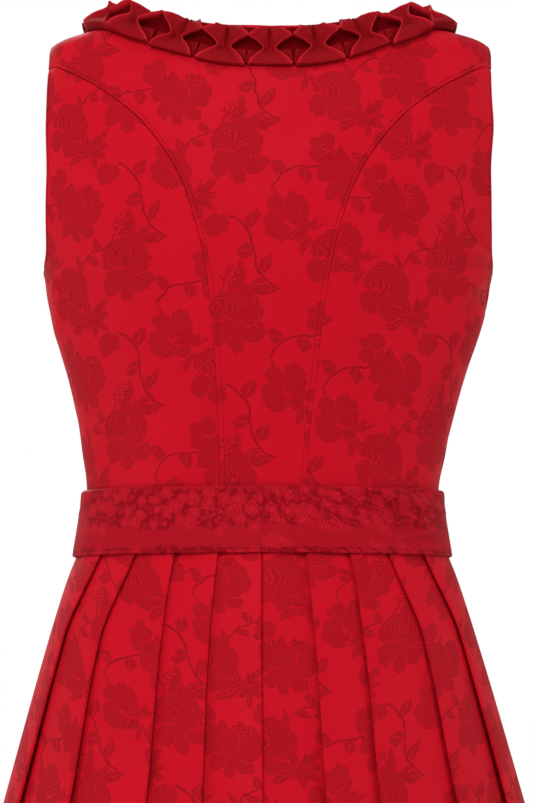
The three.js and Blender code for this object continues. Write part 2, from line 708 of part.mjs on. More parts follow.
// A loop of ribbon from the knot out and back, wide at its bend and pinched at the knot.
function loopWall(side) {
  const path = [
    { along: 0, out: 3.4, width: 0 },
    { along: 0.25, out: 2.2, width: 0.5 },
    { along: 0.55, out: 3.2, width: 0.9 },
    { along: 0.86, out: 5, width: 1 },
    { along: 0.97, out: 8.5, width: 1 },
    { along: 1, out: 13, width: 1 },
    { along: 0.95, out: 18, width: 1 },
    { along: 0.8, out: 20.5, width: 1 },
    { along: 0.52, out: 18.5, width: 0.88 },
    { along: 0.25, out: 14, width: 0.5 },
    { along: 0, out: 11, width: 0 },
  ];
  const edges = [-1, -0.4, 0.2, 1];
  const middle = (step) => {
    const away = 0.9 * KNOT.halfWidth + SEAM_GAP + step.along * LOOP.length;
    return { along: side * away, up: -LOOP.drop * step.along ** 2 };
  };
  const outline = (offset) =>
    edges.map((edge) =>
      path.map((step, i) => {
        const next = path[Math.min(i + 1, path.length - 1)];
        const last = path[Math.max(i - 1, 0)];
        const run = (next.along - last.along) * LOOP.length;
        const rise = next.out - last.out;
        const size = Math.hypot(run, rise);
        const width = mix(LOOP.pinched, LOOP.halfWidth, step.width);
        const { along, up } = middle(step);
        const dip = 1.5 * (1 - edge * edge) * step.width;
        return bowPoint(
          along + (side * offset * rise) / size,
          step.out + dip - (offset * run) / size,
          up + edge * width,
        );
      }),
    );
  return wall(outline(RIBBON_CLOTH / 2), outline(-RIBBON_CLOTH / 2));
}

function knotSolid() {
  const rounds = 14;
  const levels = [-1, -0.86, -0.45, 0, 0.45, 0.86, 1];
  const section = (v) => {
    const waist = 0.8 + 0.2 * v * v;
    const taper = Math.abs(v) === 1 ? 0.82 : 1;
    return range(rounds).map((i) => {
      const angle = (2 * Math.PI * i) / rounds;
      const across = Math.cos(angle) * KNOT.halfWidth * waist * taper;
      const out = KNOT.depth / 2 + (Math.sin(angle) * KNOT.depth * taper) / 2;
      return bowPoint(across, out + SEAM_GAP, v * KNOT.halfHeight);
    });
  };
  const rings = levels.map(section);
  const positions = rings.flat().flatMap((p) => [p.x, p.y, p.z]);
  const index = [];
  rings.slice(1).forEach((_, r) => {
    for (let i = 0; i < rounds; i++) {
      const j = (i + 1) % rounds;
      const [a, b] = [r * rounds, (r + 1) * rounds];
      index.push(a + i, a + j, b + j, a + i, b + j, b + i);
    }
  });
  const top = (levels.length - 1) * rounds;
  for (let i = 1; i < rounds - 1; i++) {
    index.push(0, i + 1, i);
    index.push(top, top + i, top + i + 1);
  }
  return facingOut(positions, index);
}

// A tie end that hangs from under the knot over the apron.
function tailWall(side) {
  const steps = 9;
  const edges = [-1, -0.33, 0.33, 1];
  const line = (offset) =>
    range(steps + 1).map((i) => {
      const t = i / steps;
      const z = BOW_HEIGHT - KNOT.halfHeight - SEAM_GAP - 0.8 - t * TAIL.length;
      const r = skirtRing(Math.min(z, BAND_BOTTOM));
      const spread = side * (8 + 30 * t);
      const width = mix(TAIL.pinched, TAIL.halfWidth, Math.min(1, t * 4.5));
      const clear = TAIL.clear + TAIL.hang * Math.min(1, t * 1.6) + (side > 0 ? 3.4 : 0);
      return edges.map((edge) => {
        const slant = side * 9 * edge * t;
        const out = clear + 1.6 * Math.cos(edge * 4 + t * 5) * Math.min(1, t * 5) + offset;
        const share = BOW_SHARE + (spread + edge * width) / r.total;
        const p = r.place(share, out);
        p.z = z + slant;
        return p;
      });
    });
  return wall(line(RIBBON_CLOTH), line(0));
}

// ---------------------------------------------------------------- front closing
const PLACKET = { halfWidth: 11, firstRow: 0.5, lastRow: 6.6, columns: 4 }; // rows of the front panels
const PLACKET_CLEARANCE = 0.8;
const BUTTONS = 5;
const TOP_BUTTON = 184; // above the waist seam
const BUTTON_PITCH = 36;
const BUTTON_RADIUS = 6.5;
const BUTTON_SHANK = 1.2; // between the closing's cloth and the button

// The point of a panel's grid on a row, counted from the waist, at a distance from the centre line.
function panelPoint(grid, row, x) {
  const onRow = (points) => {
    const c = Math.max(1, points.findIndex((p) => p.x >= Math.abs(x)));
    const [from, to] = [points[c - 1], points[c]];
    const p = from.clone().lerp(to, (Math.abs(x) - from.x) / (to.x - from.x));
    return x < 0 ? mirrored(p) : p;
  };
  const below = Math.min(Math.floor(row), grid.length - 2);
  return onRow(grid[below]).lerp(onRow(grid[below + 1]), row - below);
}

function placketWall(panel) {
  const { halfWidth, firstRow, lastRow, columns } = PLACKET;
  const rows = [firstRow, ...range(Math.floor(lastRow)).map((r) => r + 1), lastRow];
  const grid = (height) =>
    rows.map((row) =>
      range(columns + 1).map((c) => {
        const x = mix(-halfWidth, halfWidth, c / columns);
        return lifted(panelPoint(panel, row, x), height);
      }),
    );
  return wall(grid(PLACKET_CLEARANCE + SKIRT_CLOTH), grid(PLACKET_CLEARANCE));
}

// A cloth-covered button: a low dome, turned on the line of the closing.
function buttonGeometry() {
  const dome = [
    [0, 0],
    [BUTTON_RADIUS * 0.9, 0],
    [BUTTON_RADIUS, 0.9],
    [BUTTON_RADIUS * 0.93, 2.1],
    [BUTTON_RADIUS * 0.62, 3.4],
    [0, 4],
  ].map(([r, h]) => new THREE.Vector2(r, h));
  return new THREE.LatheGeometry(dome, 11).rotateX(Math.PI / 2);
}

// ---------------------------------------------------------------- the dress
const dressRed = { color: 0xb51220, roughness: 0.62, metalness: 0 };
const apronRed = { color: 0x9c1420, roughness: 0.42, metalness: 0 };
const dirndl = new THREE.Group();
dirndl.name = "dirndl";
const body = new THREE.Group();
body.position.z = -SHOULDER_HEIGHT;
dirndl.add(body);

function piece(name, geometry, look) {
  const mesh = new THREE.Mesh(geometry, new THREE.MeshStandardMaterial(look));
  mesh.name = name;
  body.add(mesh);
  return mesh;
}

const backHalf = backMiddleHalf();
const backWhole = backHalf.map((row) => [...row.slice(1).map(mirrored).reverse(), ...row]);
piece("back_middle", bodiceWall(backWhole), dressRed);
const frontHalf = frontMiddleHalf();
piece("front_middle_left", bodiceWall(frontHalf), dressRed);
piece("front_middle_right", bodiceWall(mirrorGrid(frontHalf)), dressRed);
for (const [place, face] of [["back", 1], ["front", -1]]) {
  const panel = sidePanel(face);
  piece(`${place}_side_left`, bodiceWall(panel), dressRed);
  piece(`${place}_side_right`, bodiceWall(mirrorGrid(panel)), dressRed);
}

const frontPleats = (TRIM_PLEATS - TRIM_BACK_PLEATS) / 2;
piece("neck_trim_front_left", trimWall(0, frontPleats), dressRed);
piece("neck_trim_back", trimWall(frontPleats, TRIM_BACK_PLEATS), dressRed);
piece("neck_trim_front_right", trimWall(frontPleats + TRIM_BACK_PLEATS, frontPleats), dressRed);

piece("front_placket", placketWall(frontHalf), dressRed);
for (const i of range(BUTTONS)) {
  const z = TOP_BUTTON - i * BUTTON_PITCH;
  const place = onFace({ x: 0, z }, -1);
  const button = piece(`button_${i + 1}`, buttonGeometry(), dressRed);
  const normal = outward(place);
  button.quaternion.setFromUnitVectors(vector(0, 0, 1), normal);
  button.position.copy(place).addScaledVector(normal, PLACKET_CLEARANCE + SKIRT_CLOTH + BUTTON_SHANK);
  button.position.x += sway(z);
}

piece("skirt_back", skirtWall(true), dressRed);
piece("skirt_front", skirtWall(false), dressRed);
piece("apron_band", bandWall(), apronRed);
piece("apron_front", apronWall(), apronRed);
piece("bow_knot", knotSolid(), apronRed);
piece("bow_loop_outer", loopWall(-1), apronRed);
piece("bow_loop_inner", loopWall(1), apronRed);
piece("tie_end_outer", tailWall(-1), apronRed);
piece("tie_end_inner", tailWall(1), apronRed);

export default dirndl;
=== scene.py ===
import math

import bpy
import numpy as np
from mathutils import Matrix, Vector


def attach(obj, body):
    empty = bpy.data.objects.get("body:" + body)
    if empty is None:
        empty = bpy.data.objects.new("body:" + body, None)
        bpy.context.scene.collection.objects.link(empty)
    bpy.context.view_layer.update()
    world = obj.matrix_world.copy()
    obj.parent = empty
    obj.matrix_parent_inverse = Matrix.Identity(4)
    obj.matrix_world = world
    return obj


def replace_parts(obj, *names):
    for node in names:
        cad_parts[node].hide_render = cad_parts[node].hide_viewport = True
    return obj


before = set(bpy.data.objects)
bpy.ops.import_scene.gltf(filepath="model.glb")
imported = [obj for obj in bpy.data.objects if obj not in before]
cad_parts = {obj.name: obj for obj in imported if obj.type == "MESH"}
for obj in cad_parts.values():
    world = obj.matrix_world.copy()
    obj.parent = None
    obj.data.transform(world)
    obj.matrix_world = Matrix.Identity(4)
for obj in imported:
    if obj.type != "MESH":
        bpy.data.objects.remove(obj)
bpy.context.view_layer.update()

# ---------------------------------------------------------------- camera and studio
# The camera stands 3.5 m behind the dress, a little below the waist, and looks slightly up.
# A pale floor lies far below the hem. Soft boxes light the cloth from behind, above and both sides,
# and one more lights the front.
WAIST = -0.380  # the height of the waist seam below the shoulders, which are the origin


def aim(thing, place, target):
    thing.location = place
    thing.rotation_euler = (Vector(target) - Vector(place)).to_track_quat("-Z", "Y").to_euler()
    bpy.context.collection.objects.link(thing)


lens = bpy.data.cameras.new("back_view")
lens.sensor_fit = "VERTICAL"
lens.sensor_height = 24.0
lens.lens = 135.9
camera = bpy.data.objects.new("back_view", lens)
aim(camera, (0.0, 3.5, WAIST - 0.150), (0.0, 0.0, WAIST + 0.092))
bpy.context.scene.camera = camera
bpy.context.scene.view_settings.view_transform = "Standard"

SOFT_BOXES = {
    "key": dict(place=(0.6, 2.7, 1.6), size=1.0, watts=42.0),
    "left": dict(place=(2.9, 1.0, -0.5), size=1.6, watts=19.0),
    "right": dict(place=(-2.9, 1.2, 0.0), size=1.6, watts=20.0),
    "top": dict(place=(0.0, 1.1, 2.4), size=1.2, watts=10.0),
    "front": dict(place=(1.2, -3.0, 1.2), size=1.6, watts=38.0),
}
for name, box in SOFT_BOXES.items():
    light = bpy.data.lights.new(name, "AREA")
    light.size = box["size"]
    light.energy = box["watts"]
    aim(bpy.data.objects.new(name, light), box["place"], (0.0, 0.0, WAIST))


def linear(hex_colour):
    channels = [int(hex_colour[i:i + 2], 16) / 255 for i in (1, 3, 5)]
    return *(c / 12.92 if c <= 0.04045 else ((c + 0.055) / 1.055) ** 2.4 for c in channels), 1.0


def add(tree, kind, inputs=None, known=None, **settings):
    """One node with its settings and links; an input is a socket, what a known name stands for,
    or a value to set."""
    node = tree.nodes.new(kind)
    for name, value in settings.items():
        setattr(node, name, value)
    for key, value in (inputs.items() if isinstance(inputs, dict) else enumerate(inputs or ())):
        value = known[value] if known and isinstance(value, str) else value
        if isinstance(value, bpy.types.NodeSocket):
            tree.links.new(value, node.inputs[key])
        else:
            node.inputs[key].default_value = value
    return node


def new_material(name):
    material = bpy.data.materials.new(name)
    material.use_nodes = True
    material.node_tree.nodes.clear()
    return material


def work_out(tree, known, steps):
    """Adds a table of steps, each a result, an operation and its terms, to the known names."""
    for result, operation, *terms in steps:
        clamped = operation.startswith("CLAMPED ")  # kept within 0 and 1
        step = add(tree, "ShaderNodeMath", terms, known, use_clamp=clamped,
                   operation=operation.removeprefix("CLAMPED "))
        known[result] = step.outputs[0]


# A white sweep behind the dress: plain white to the camera, while only a part of it lights the cloth.
sweep = bpy.data.worlds.new("white_studio")
sweep.use_nodes = True
sweep.node_tree.nodes.clear()
seen = add(sweep.node_tree, "ShaderNodeLightPath").outputs["Is Camera Ray"]
WHITE = (1.0, 1.0, 1.0, 1.0)
soft = add(sweep.node_tree, "ShaderNodeBackground", {"Color": WHITE, "Strength": 0.42})
plain = add(sweep.node_tree, "ShaderNodeBackground", {"Color": WHITE, "Strength": 1.0})
both = add(sweep.node_tree, "ShaderNodeMixShader", {0: seen, 1: soft.outputs[0], 2: plain.outputs[0]})
add(sweep.node_tree, "ShaderNodeOutputWorld", {"Surface": both.outputs[0]})
bpy.context.scene.world = sweep

# Matt painted studio floor: nearly white, with a faint mottle from the roller.
studio_paint = new_material("studio_paint")
tree = studio_paint.node_tree
place = add(tree, "ShaderNodeTexCoord").outputs["Object"]
mottle = add(tree, "ShaderNodeTexNoise", {"Vector": place, "Scale": 6.0})
tint = add(tree, "ShaderNodeMix", {"Factor": mottle.outputs["Fac"], "A": linear("#ECECEA"),
                                   "B": linear("#F6F6F4")}, data_type="RGBA")
paint = add(tree, "ShaderNodeBsdfPrincipled", {"Base Color": tint.outputs[2], "Roughness": 0.85})
add(tree, "ShaderNodeOutputMaterial", {"Surface": paint.outputs["BSDF"]})

floor_mesh = bpy.data.meshes.new("studio_floor")
side, level_m = 3.0, WAIST - 1.05
floor_mesh.from_pydata([(-side, -side, level_m), (side, -side, level_m), (side, side, level_m),
                        (-side, side, level_m)], [], [(0, 1, 2, 3)])
floor_mesh.materials.append(studio_paint)
floor = bpy.data.objects.new("studio_floor", floor_mesh)
bpy.context.collection.objects.link(floor)

# ---------------------------------------------------------------- bodice
# Seven panels of floral jacquard, sewn along curved princess seams that run into the armholes and
# topstitched on the middle panels' side. The cloth is backed, so it holds the figure's form with
# only soft creases under the arms. Sizes are millimetres, with heights from the waist seam.
BODICE_CLOTH = 1.5
SEAM_GAP = 0.4


def table(names, *rows):
    return dict(zip(names.split(), np.array(rows, float).T))


TORSO = table(
    "z half_width back front",
    (-10, 135, 90, 92), (22, 135.5, 90, 92), (54, 140, 92, 94), (85, 146.5, 96, 98),
    (115, 154.5, 100, 101), (146, 164, 104.5, 104.5), (172, 170.5, 107.5, 106),
    (192, 173.5, 109, 106), (225, 180, 109.5, 102), (260, 184.5, 107, 94), (295, 185, 100.5, 84),
    (325, 180.5, 90.5, 75), (352, 174, 77.5, 66), (366, 169.5, 71.5, 59), (371.5, 162, 68.5, 55),
    (376, 149, 65, 51), (381, 131, 59, 44.5), (387, 109.5, 49, 37.5), (398, 66, 29, 22))
SWAY = table("z x", (-668, 2), (-220, 3), (-60, 4), (0, 3.9), (60, 2.4), (120, 0.6), (200, -0.6),
             (390, -2))
CUP = dict(x=74, z=166, fullness=24, across=44, along=46)
BACK_PRINCESS = table(
    "x z", (31, 0), (32.2, 35), (34.3, 75), (37.8, 115), (41.2, 150), (46.5, 186), (54.5, 221),
    (66, 253), (82.5, 281), (104, 306.5), (130, 327.5), (151, 340.5), (167.3, 350))
FRONT_PRINCESS = table(
    "x z", (46, 0), (50, 40), (58, 85), (68, 130), (76, 166), (86, 198), (102, 226), (124, 249),
    (150, 268))
BACK_ARMHOLE = table(
    "x y z", (173.5, 0, 192), (173, 22, 203), (172.5, 34, 225), (172, 41, 260), (172.5, 37, 295),
    (172, 27, 327), (170.5, 13, 353), (169.5, 0, 366))
FRONT_ARMHOLE = table(
    "x y z", (173.5, 0, 192), (170, -28, 204), (161, -48, 230), (152, -54, 262), (149, -47, 295),
    (154, -35, 329), (163, -16, 354), (169.5, 0, 366))
FRONT_NECKLINE = table("x z", (0, 236), (30, 239), (56, 248), (76, 266), (88, 292), (96, 325),
                       (101, 356), (103.5, 380))
NECK_SIDE = np.array([104.0, 0.0, 388.5])
BACK_NECKLINE = table("x z", (0, 374), (30, 375.3), (50, 378.2), (68, 382), (84, 385.6))


def through(rows, key, name):
    """A smooth function through one column of a table, which never overshoots its rows."""
    order = np.argsort(rows[key])
    at, value = rows[key][order], rows[name][order]
    chord = np.diff(value) / np.diff(at)
    product = chord[:-1] * chord[1:]
    total = np.where(product > 0, chord[:-1] + chord[1:], 1.0)
    slope = np.concatenate([chord[:1], np.where(product > 0, 2 * product / total, 0.0), chord[-1:]])

    def value_at(where):
        where = np.asarray(where, float)
        i = np.clip(np.searchsorted(at, where, side="right") - 1, 0, len(at) - 2)
        width = at[i + 1] - at[i]
        t = np.clip((where - at[i]) / width, 0, 1)
        rise = value[i] + (value[i + 1] - value[i]) * t * t * (3 - 2 * t)
        rise += width * t * (1 - t) * (slope[i] * (1 - t) - slope[i + 1] * t)
        past = np.maximum(where - at[-1], 0) * slope[-1] + np.minimum(where - at[0], 0) * slope[0]
        return rise + past

    return value_at


sway_at = through(SWAY, "z", "x")
half_width_at, back_at, front_at = (through(TORSO, "z", name) for name in ("half_width", "back", "front"))


def depth_at(x, y, z):
    cup = CUP["fullness"] * np.exp(-((np.abs(x) - CUP["x"]) / CUP["across"]) ** 2
                                   - ((z - CUP["z"]) / CUP["along"]) ** 2)
    return np.where(y >= 0, back_at(z), front_at(z) + cup)


def level(p):
    x, y, z = p[..., 0], p[..., 1], p[..., 2]
    return (x / half_width_at(z)) ** 2 + (y / depth_at(x, y, z)) ** 2 - 1


def gradient(p):
    step = 0.02 * np.eye(3)
    return np.stack([(level(p + d) - level(p - d)) / 0.04 for d in step], axis=-1)


def unit(v):
    return v / np.maximum(np.linalg.norm(v, axis=-1, keepdims=True), 1e-9)


def outward(p):
    return unit(gradient(p))


def on_torso(p):
    p = np.array(p, float)
    for _ in range(8):
        slope = gradient(p)
        p = p - slope * (level(p) / (slope ** 2).sum(-1))[..., None]
    return p


def lifted(p, height):
    return p + outward(p) * np.asarray(height, float)[..., None]


def on_face(x, z, face):
    x, z = np.broadcast_arrays(np.asarray(x, float), np.asarray(z, float))
    depth = depth_at(x, np.full_like(x, face), z)
    y = face * depth * np.sqrt(np.maximum(0, 1 - (x / half_width_at(z)) ** 2))
    return on_torso(np.stack([x, y, z], axis=-1))


def smooth_line(points, closed=False, per=40):
    """A Catmull-Rom line through the points, densely sampled."""
    points = np.asarray(points, float)
    if closed:
        padded = np.vstack([points[-1:], points, points[:2]])
    else:
        padded = np.vstack([2 * points[0] - points[1], points, 2 * points[-1] - points[-2]])
    t = np.linspace(0, 1, per, endpoint=False)[:, None]
    parts = []
    for a, b, c, d in zip(padded, padded[1:], padded[2:], padded[3:]):
        parts.append(0.5 * (2 * b + (c - a) * t + (2 * a - 5 * b + 4 * c - d) * t ** 2
                            + (3 * b - a - 3 * c + d) * t ** 3))
    return np.vstack(parts + [padded[-2][None]])


def run_of(line):
    return np.concatenate([[0], np.cumsum(np.linalg.norm(np.diff(line, axis=0), axis=1))])


def at_run(line, where):
    run = run_of(line)
    return np.stack([np.interp(where, run, line[:, k]) for k in range(3)], axis=-1)


def spaced(points, count):
    line = smooth_line(points)
    return at_run(line, np.linspace(0, run_of(line)[-1], count + 1))


def patch(bottom, top, left, right):
    """Fills four edges with a grid on the torso: bottom and top run across, left and right up."""
    u = np.linspace(0, 1, len(bottom))[None, :, None]
    v = np.linspace(0, 1, len(left))[:, None, None]
    grid = bottom[None] * (1 - v) + top[None] * v + left[:, None] * (1 - u) + right[:, None] * u
    grid -= (1 - u) * (1 - v) * bottom[0] + u * (1 - v) * bottom[-1]
    grid -= (1 - u) * v * top[0] + u * v * top[-1]
    grid = on_torso(grid)
    grid[0], grid[-1], grid[:, 0], grid[:, -1] = bottom, top, left, right
    return grid


def shifted(points, shift):
    along = unit(np.gradient(points, axis=0))
    aside = np.cross(along, outward(points))
    aside *= np.where(aside[:, :1] < 0, -1, 1)
    return on_torso(points + aside * shift)


def straight(start, end, count):
    return on_torso(start + (end - start) * np.linspace(0, 1, count + 1)[:, None])


def waist_line(start, end, count):
    turn = [math.atan2(p[0] / half_width_at(p[2]), p[1] / back_at(p[2])) for p in (start, end)]
    angle = np.linspace(turn[0], turn[1], count + 1)
    line = on_torso(np.stack([150 * np.sin(angle), 100 * np.cos(angle),
                              np.linspace(start[2], end[2], count + 1)], axis=-1))
    line[0], line[-1] = start, end
    return line


FINE = 7  # grid steps for each step of the dress's plain pattern
SEAM_STEPS = 12 * FINE


def half_edges(face):
    rows = BACK_ARMHOLE if face > 0 else FRONT_ARMHOLE
    armhole = on_torso(spaced(on_torso(np.stack([rows["x"], rows["y"], rows["z"]], -1)), 480))
    rows = BACK_PRINCESS if face > 0 else FRONT_PRINCESS
    princess = on_torso(spaced(on_face(rows["x"], rows["z"], face), SEAM_STEPS))
    meet = int(np.argmin(np.linalg.norm(armhole - princess[-1], axis=1)))
    princess[-1] = armhole[meet]
    return armhole, princess, meet


def side_panel(face, columns=30):
    armhole, princess, meet = half_edges(face)
    inner = shifted(princess, SEAM_GAP / 2)
    underarm = armhole[0, 2]
    rise = underarm + np.linalg.norm(armhole[meet] - armhole[0])
    height = np.linspace(0, rise, SEAM_STEPS + 1)
    seam = np.stack([half_width_at(height), np.full_like(height, face * SEAM_GAP / 2), height], -1)
    t = np.clip((height - underarm) / (rise - underarm), 0, 1) * meet
    arm = on_torso(np.stack([np.interp(t, np.arange(len(armhole)), armhole[:, k]) for k in range(3)], -1))
    outer = np.where((height < underarm)[:, None], seam, arm)
    bottom = waist_line(inner[0], outer[0], columns)
    return patch(bottom, straight(inner[-1], outer[-1], columns), inner, outer)


def neck_edge(face, count):
    rows = BACK_NECKLINE if face > 0 else FRONT_NECKLINE
    end = on_torso(NECK_SIDE + [0, face * SEAM_GAP / 2, 0])
    return on_torso(spaced(np.vstack([on_face(rows["x"], rows["z"], face), end]), count))


def outer_edge(face, arm_steps):
    armhole, princess, meet = half_edges(face)
    seam = shifted(princess, -SEAM_GAP / 2)
    tip = on_torso(armhole[-1] + [0, face * SEAM_GAP / 2, 0])
    index = np.linspace(meet + 2, len(armhole) - 1, arm_steps * FINE + 1)[1:].round().astype(int)
    arm = armhole[index]
    arm[-1] = tip
    return np.vstack([seam, arm])


def centre_line(face, x, top, steps):
    return on_face(x, np.linspace(SEAM_GAP / 2, top, steps + 1), face)


def back_middle_half():
    outer = outer_edge(1, 2)
    neck = neck_edge(1, 40)
    top = np.vstack([neck, straight(neck[-1], outer[-1], 20)[1:]])
    middle = centre_line(1, 0, neck[0, 2], len(outer) - 1)
    top[0] = middle[-1]
    return patch(waist_line(middle[0], outer[0], len(top) - 1), top, middle, outer)


def front_middle_half():
    outer = outer_edge(-1, 3)
    neck = neck_edge(-1, 7 * FINE)
    closing = centre_line(-1, SEAM_GAP / 2, neck[0, 2], len(outer) - 1 - 7 * FINE)
    inner = np.vstack([closing, neck[1:]])
    top = straight(neck[-1], outer[-1], 36)
    return patch(waist_line(inner[0], outer[0], 36), top, inner, outer)


def placed(points):
    """Millimetres from the waist seam to metres in the shared frame, swayed with the figure."""
    points = np.asarray(points, float)
    return (points + sway_at(points[..., 2:]) * [1, 0, 0]) / 1000 + [0, 0, WAIST]


EDGE_STEPS = np.array([0, 0.4, 0.9, 1.6, 2.5, 3.6, 5.0])  # columns that shape a turned edge


def with_edges(grid, columns, left=True, right=True):
    """The same rows with columns crowded at the turned edges, and each point's distance from them."""
    rows, off = [], []
    for row in grid:
        width = run_of(row)[-1]
        edge = EDGE_STEPS * min(1, width / 25)
        start = edge if left else edge[:1]
        stop = width - (edge if right else edge[:1])[::-1]
        middle = np.linspace(start[-1], stop[0], columns + 2)[1:-1]
        where = np.concatenate([start, middle, stop])
        rows.append(at_run(row, where))
        off.append(np.minimum(where if left else 1e3, (width - where) if right else 1e3))
    return np.array(rows), np.array(off)


def creased(x, z, creases):
    """The height of soft creases: each is a trough or ridge from one point to another."""
    height = np.zeros_like(x)
    for x1, z1, x2, z2, width, rise in zip(*creases.values()):
        run = np.hypot(x2 - x1, z2 - z1)
        t = ((x - x1) * (x2 - x1) + (z - z1) * (z2 - z1)) / run ** 2
        aside = ((x - x1) * (z2 - z1) - (z - z1) * (x2 - x1)) / run
        past = np.maximum(np.abs(t - 0.5) - 0.42, 0) * run
        height += rise * np.exp(-(aside / width) ** 2 - (past / (0.22 * run)) ** 2)
    return height


# Creases of the back and of the front, as the filled-out bodice pulls under its arms and waist.
BACK_CREASES = table(
    "x1 z1 x2 z2 width rise",
    (-166, 208, -154, 215, 3.2, -1.8), (-165, 194, -142, 187, 3.4, -2.4), (-164, 202, -142, 198, 4, 1.6),
    (-168, 188, -148, 172, 6, 1.4), (-171, 176, -152, 158, 5, -1.6), (-163, 160, -148, 132, 8, 1.2),
    (166, 206, 150, 196, 4, -1.0), (164, 199, 146, 188, 4.5, 0.8), (163, 180, 160, 146, 4.5, 1.4),
    (156, 178, 153, 148, 4, -1.3),
    (-130, 60, -96, 34, 9, -0.7), (132, 70, 92, 36, 10, -0.7), (-60, 322, 64, 326, 16, 0.8),
    (112, 120, 70, 92, 12, 0.5), (-110, 110, -66, 96, 12, 0.5), (-26, 60, 22, 54, 9, -0.35))
FRONT_CREASES = table(
    "x1 z1 x2 z2 width rise",
    (160, 205, 128, 178, 7, -1.1), (-162, 210, -130, 184, 7, -1.2), (150, 176, 122, 150, 8, 0.8),
    (-149, 180, -118, 152, 8, 0.7), (112, 62, 66, 40, 9, -0.7), (-116, 70, -70, 44, 9, -0.8),
    (30, 150, 54, 158, 7, -0.6), (-28, 146, -55, 160, 7, -0.5), (60, 96, 34, 70, 9, 0.5))


def rumple(x, z, seed, size=46.0, rise=0.45):
    """A low, even unrest of the cloth: a few long waves in fixed directions."""
    angle = np.random.default_rng(seed).uniform(0, 2 * math.pi, (7, 2))
    waves = [np.sin((x * math.cos(a) + z * math.sin(a)) * 2 * math.pi / (size * (0.8 + 0.23 * k)) + b)
             for k, (a, b) in enumerate(angle)]
    return rise * sum(waves) / 3


def cloth_rise(x, z, face):
    """How far the bodice's cloth stands off the smooth torso, on its back (1) or its front (-1)."""
    creases, seed = (BACK_CREASES, 11) if face > 0 else (FRONT_CREASES, 12)
    return creased(x, z, creases) + rumple(x, z, seed)


BACK_TURN = np.linspace(0, math.pi, 400)
TURN_RUN = run_of(np.stack([165 * np.sin(BACK_TURN), 103 * np.cos(BACK_TURN)], -1))
CLOTH_HEIGHTS = np.linspace(-10, 400, 300)
CLOTH_RUN = run_of(np.stack([CLOTH_HEIGHTS, back_at(CLOTH_HEIGHTS)], -1))


def unrolled(p, shift=(0, 0)):
    """Where a point of the torso lies on the flat cloth, in metres."""
    z = p[..., 2]
    turn = np.arctan2(np.abs(p[..., 0]) / half_width_at(z), p[..., 1] / depth_at(p[..., 0], p[..., 1], z))
    across = np.interp(turn, BACK_TURN, TURN_RUN) * half_width_at(z) / 165 * np.sign(p[..., 0] + 1e-6)
    return np.stack([across + shift[0], np.interp(z, CLOTH_HEIGHTS, CLOTH_RUN) + shift[1]], -1) / 1000


def sewn(name, outer, inner, flat, material, ring=False):
    """A closed wall of cloth between two grids, with its flat cloth's place as its UV map."""
    rows, columns = outer.shape[:2]
    wide = columns + 1 if ring else columns
    index = np.arange(rows)[:, None] * columns + np.arange(wide)[None] % columns
    place = np.arange(rows)[:, None] * wide + np.arange(wide)[None]
    inside, under = index + rows * columns, place + rows * wide

    def strips(a, b, c, d):
        return np.stack([a, b, c, d], -1).reshape(-1, 4)

    def faces(out, back):
        parts = [strips(out[:-1, :-1], out[:-1, 1:], out[1:, 1:], out[1:, :-1]),
                 strips(back[:-1, :-1], back[1:, :-1], back[1:, 1:], back[:-1, 1:]),
                 strips(back[0, :-1], back[0, 1:], out[0, 1:], out[0, :-1]),
                 strips(out[-1, :-1], out[-1, 1:], back[-1, 1:], back[-1, :-1])]
        if not ring:
            parts += [strips(out[:-1, 0], out[1:, 0], back[1:, 0], back[:-1, 0]),
                      strips(back[:-1, -1], back[1:, -1], out[1:, -1], out[:-1, -1])]
        return np.vstack(parts)

    corners, maps = faces(index, inside), faces(place, under)
    points = placed(np.vstack([outer.reshape(-1, 3), inner.reshape(-1, 3)]))
    a, b, c, d = (points[corners[:, k]] for k in range(4))
    if (np.cross(c - a, d - b) * (a + c)).sum() < 0:
        corners, maps = corners[:, ::-1], maps[:, ::-1]
    mesh = bpy.data.meshes.new(name)
    mesh.from_pydata(points.tolist(), [], corners.tolist())
    cloth = np.vstack([flat.reshape(-1, 2), flat.reshape(-1, 2)])
    mesh.uv_layers.new(name="cloth").data.foreach_set("uv", cloth[maps.reshape(-1)].reshape(-1))
    mesh.materials.append(material)
    mesh.shade_smooth()
    mesh.set_sharp_from_angle(angle=math.radians(55))
    piece = bpy.data.objects.new(name, mesh)
    bpy.context.collection.objects.link(piece)
    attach(piece, "root")
    return piece


NUMBER, ARROW = "NodeSocketFloat", "NodeSocketVector"


def new_group(name, inputs, steps, outputs):
    """A group of nodes that works out its outputs from a table of steps."""
    group = bpy.data.node_groups.new(name, "ShaderNodeTree")
    for socket in inputs:
        group.interface.new_socket(socket, in_out="INPUT", socket_type=NUMBER)
    start = group.nodes.new("NodeGroupInput")
    known = {socket: start.outputs[socket] for socket in inputs}
    work_out(group, known, steps)
    end = group.nodes.new("NodeGroupOutput")
    for socket, result in outputs.items():
        group.interface.new_socket(socket, in_out="OUTPUT", socket_type=NUMBER)
        group.links.new(known[result], end.inputs[socket])
    return group


REPEAT = 0.128  # m, the height and width of the jacquard's repeat, which is dropped by half

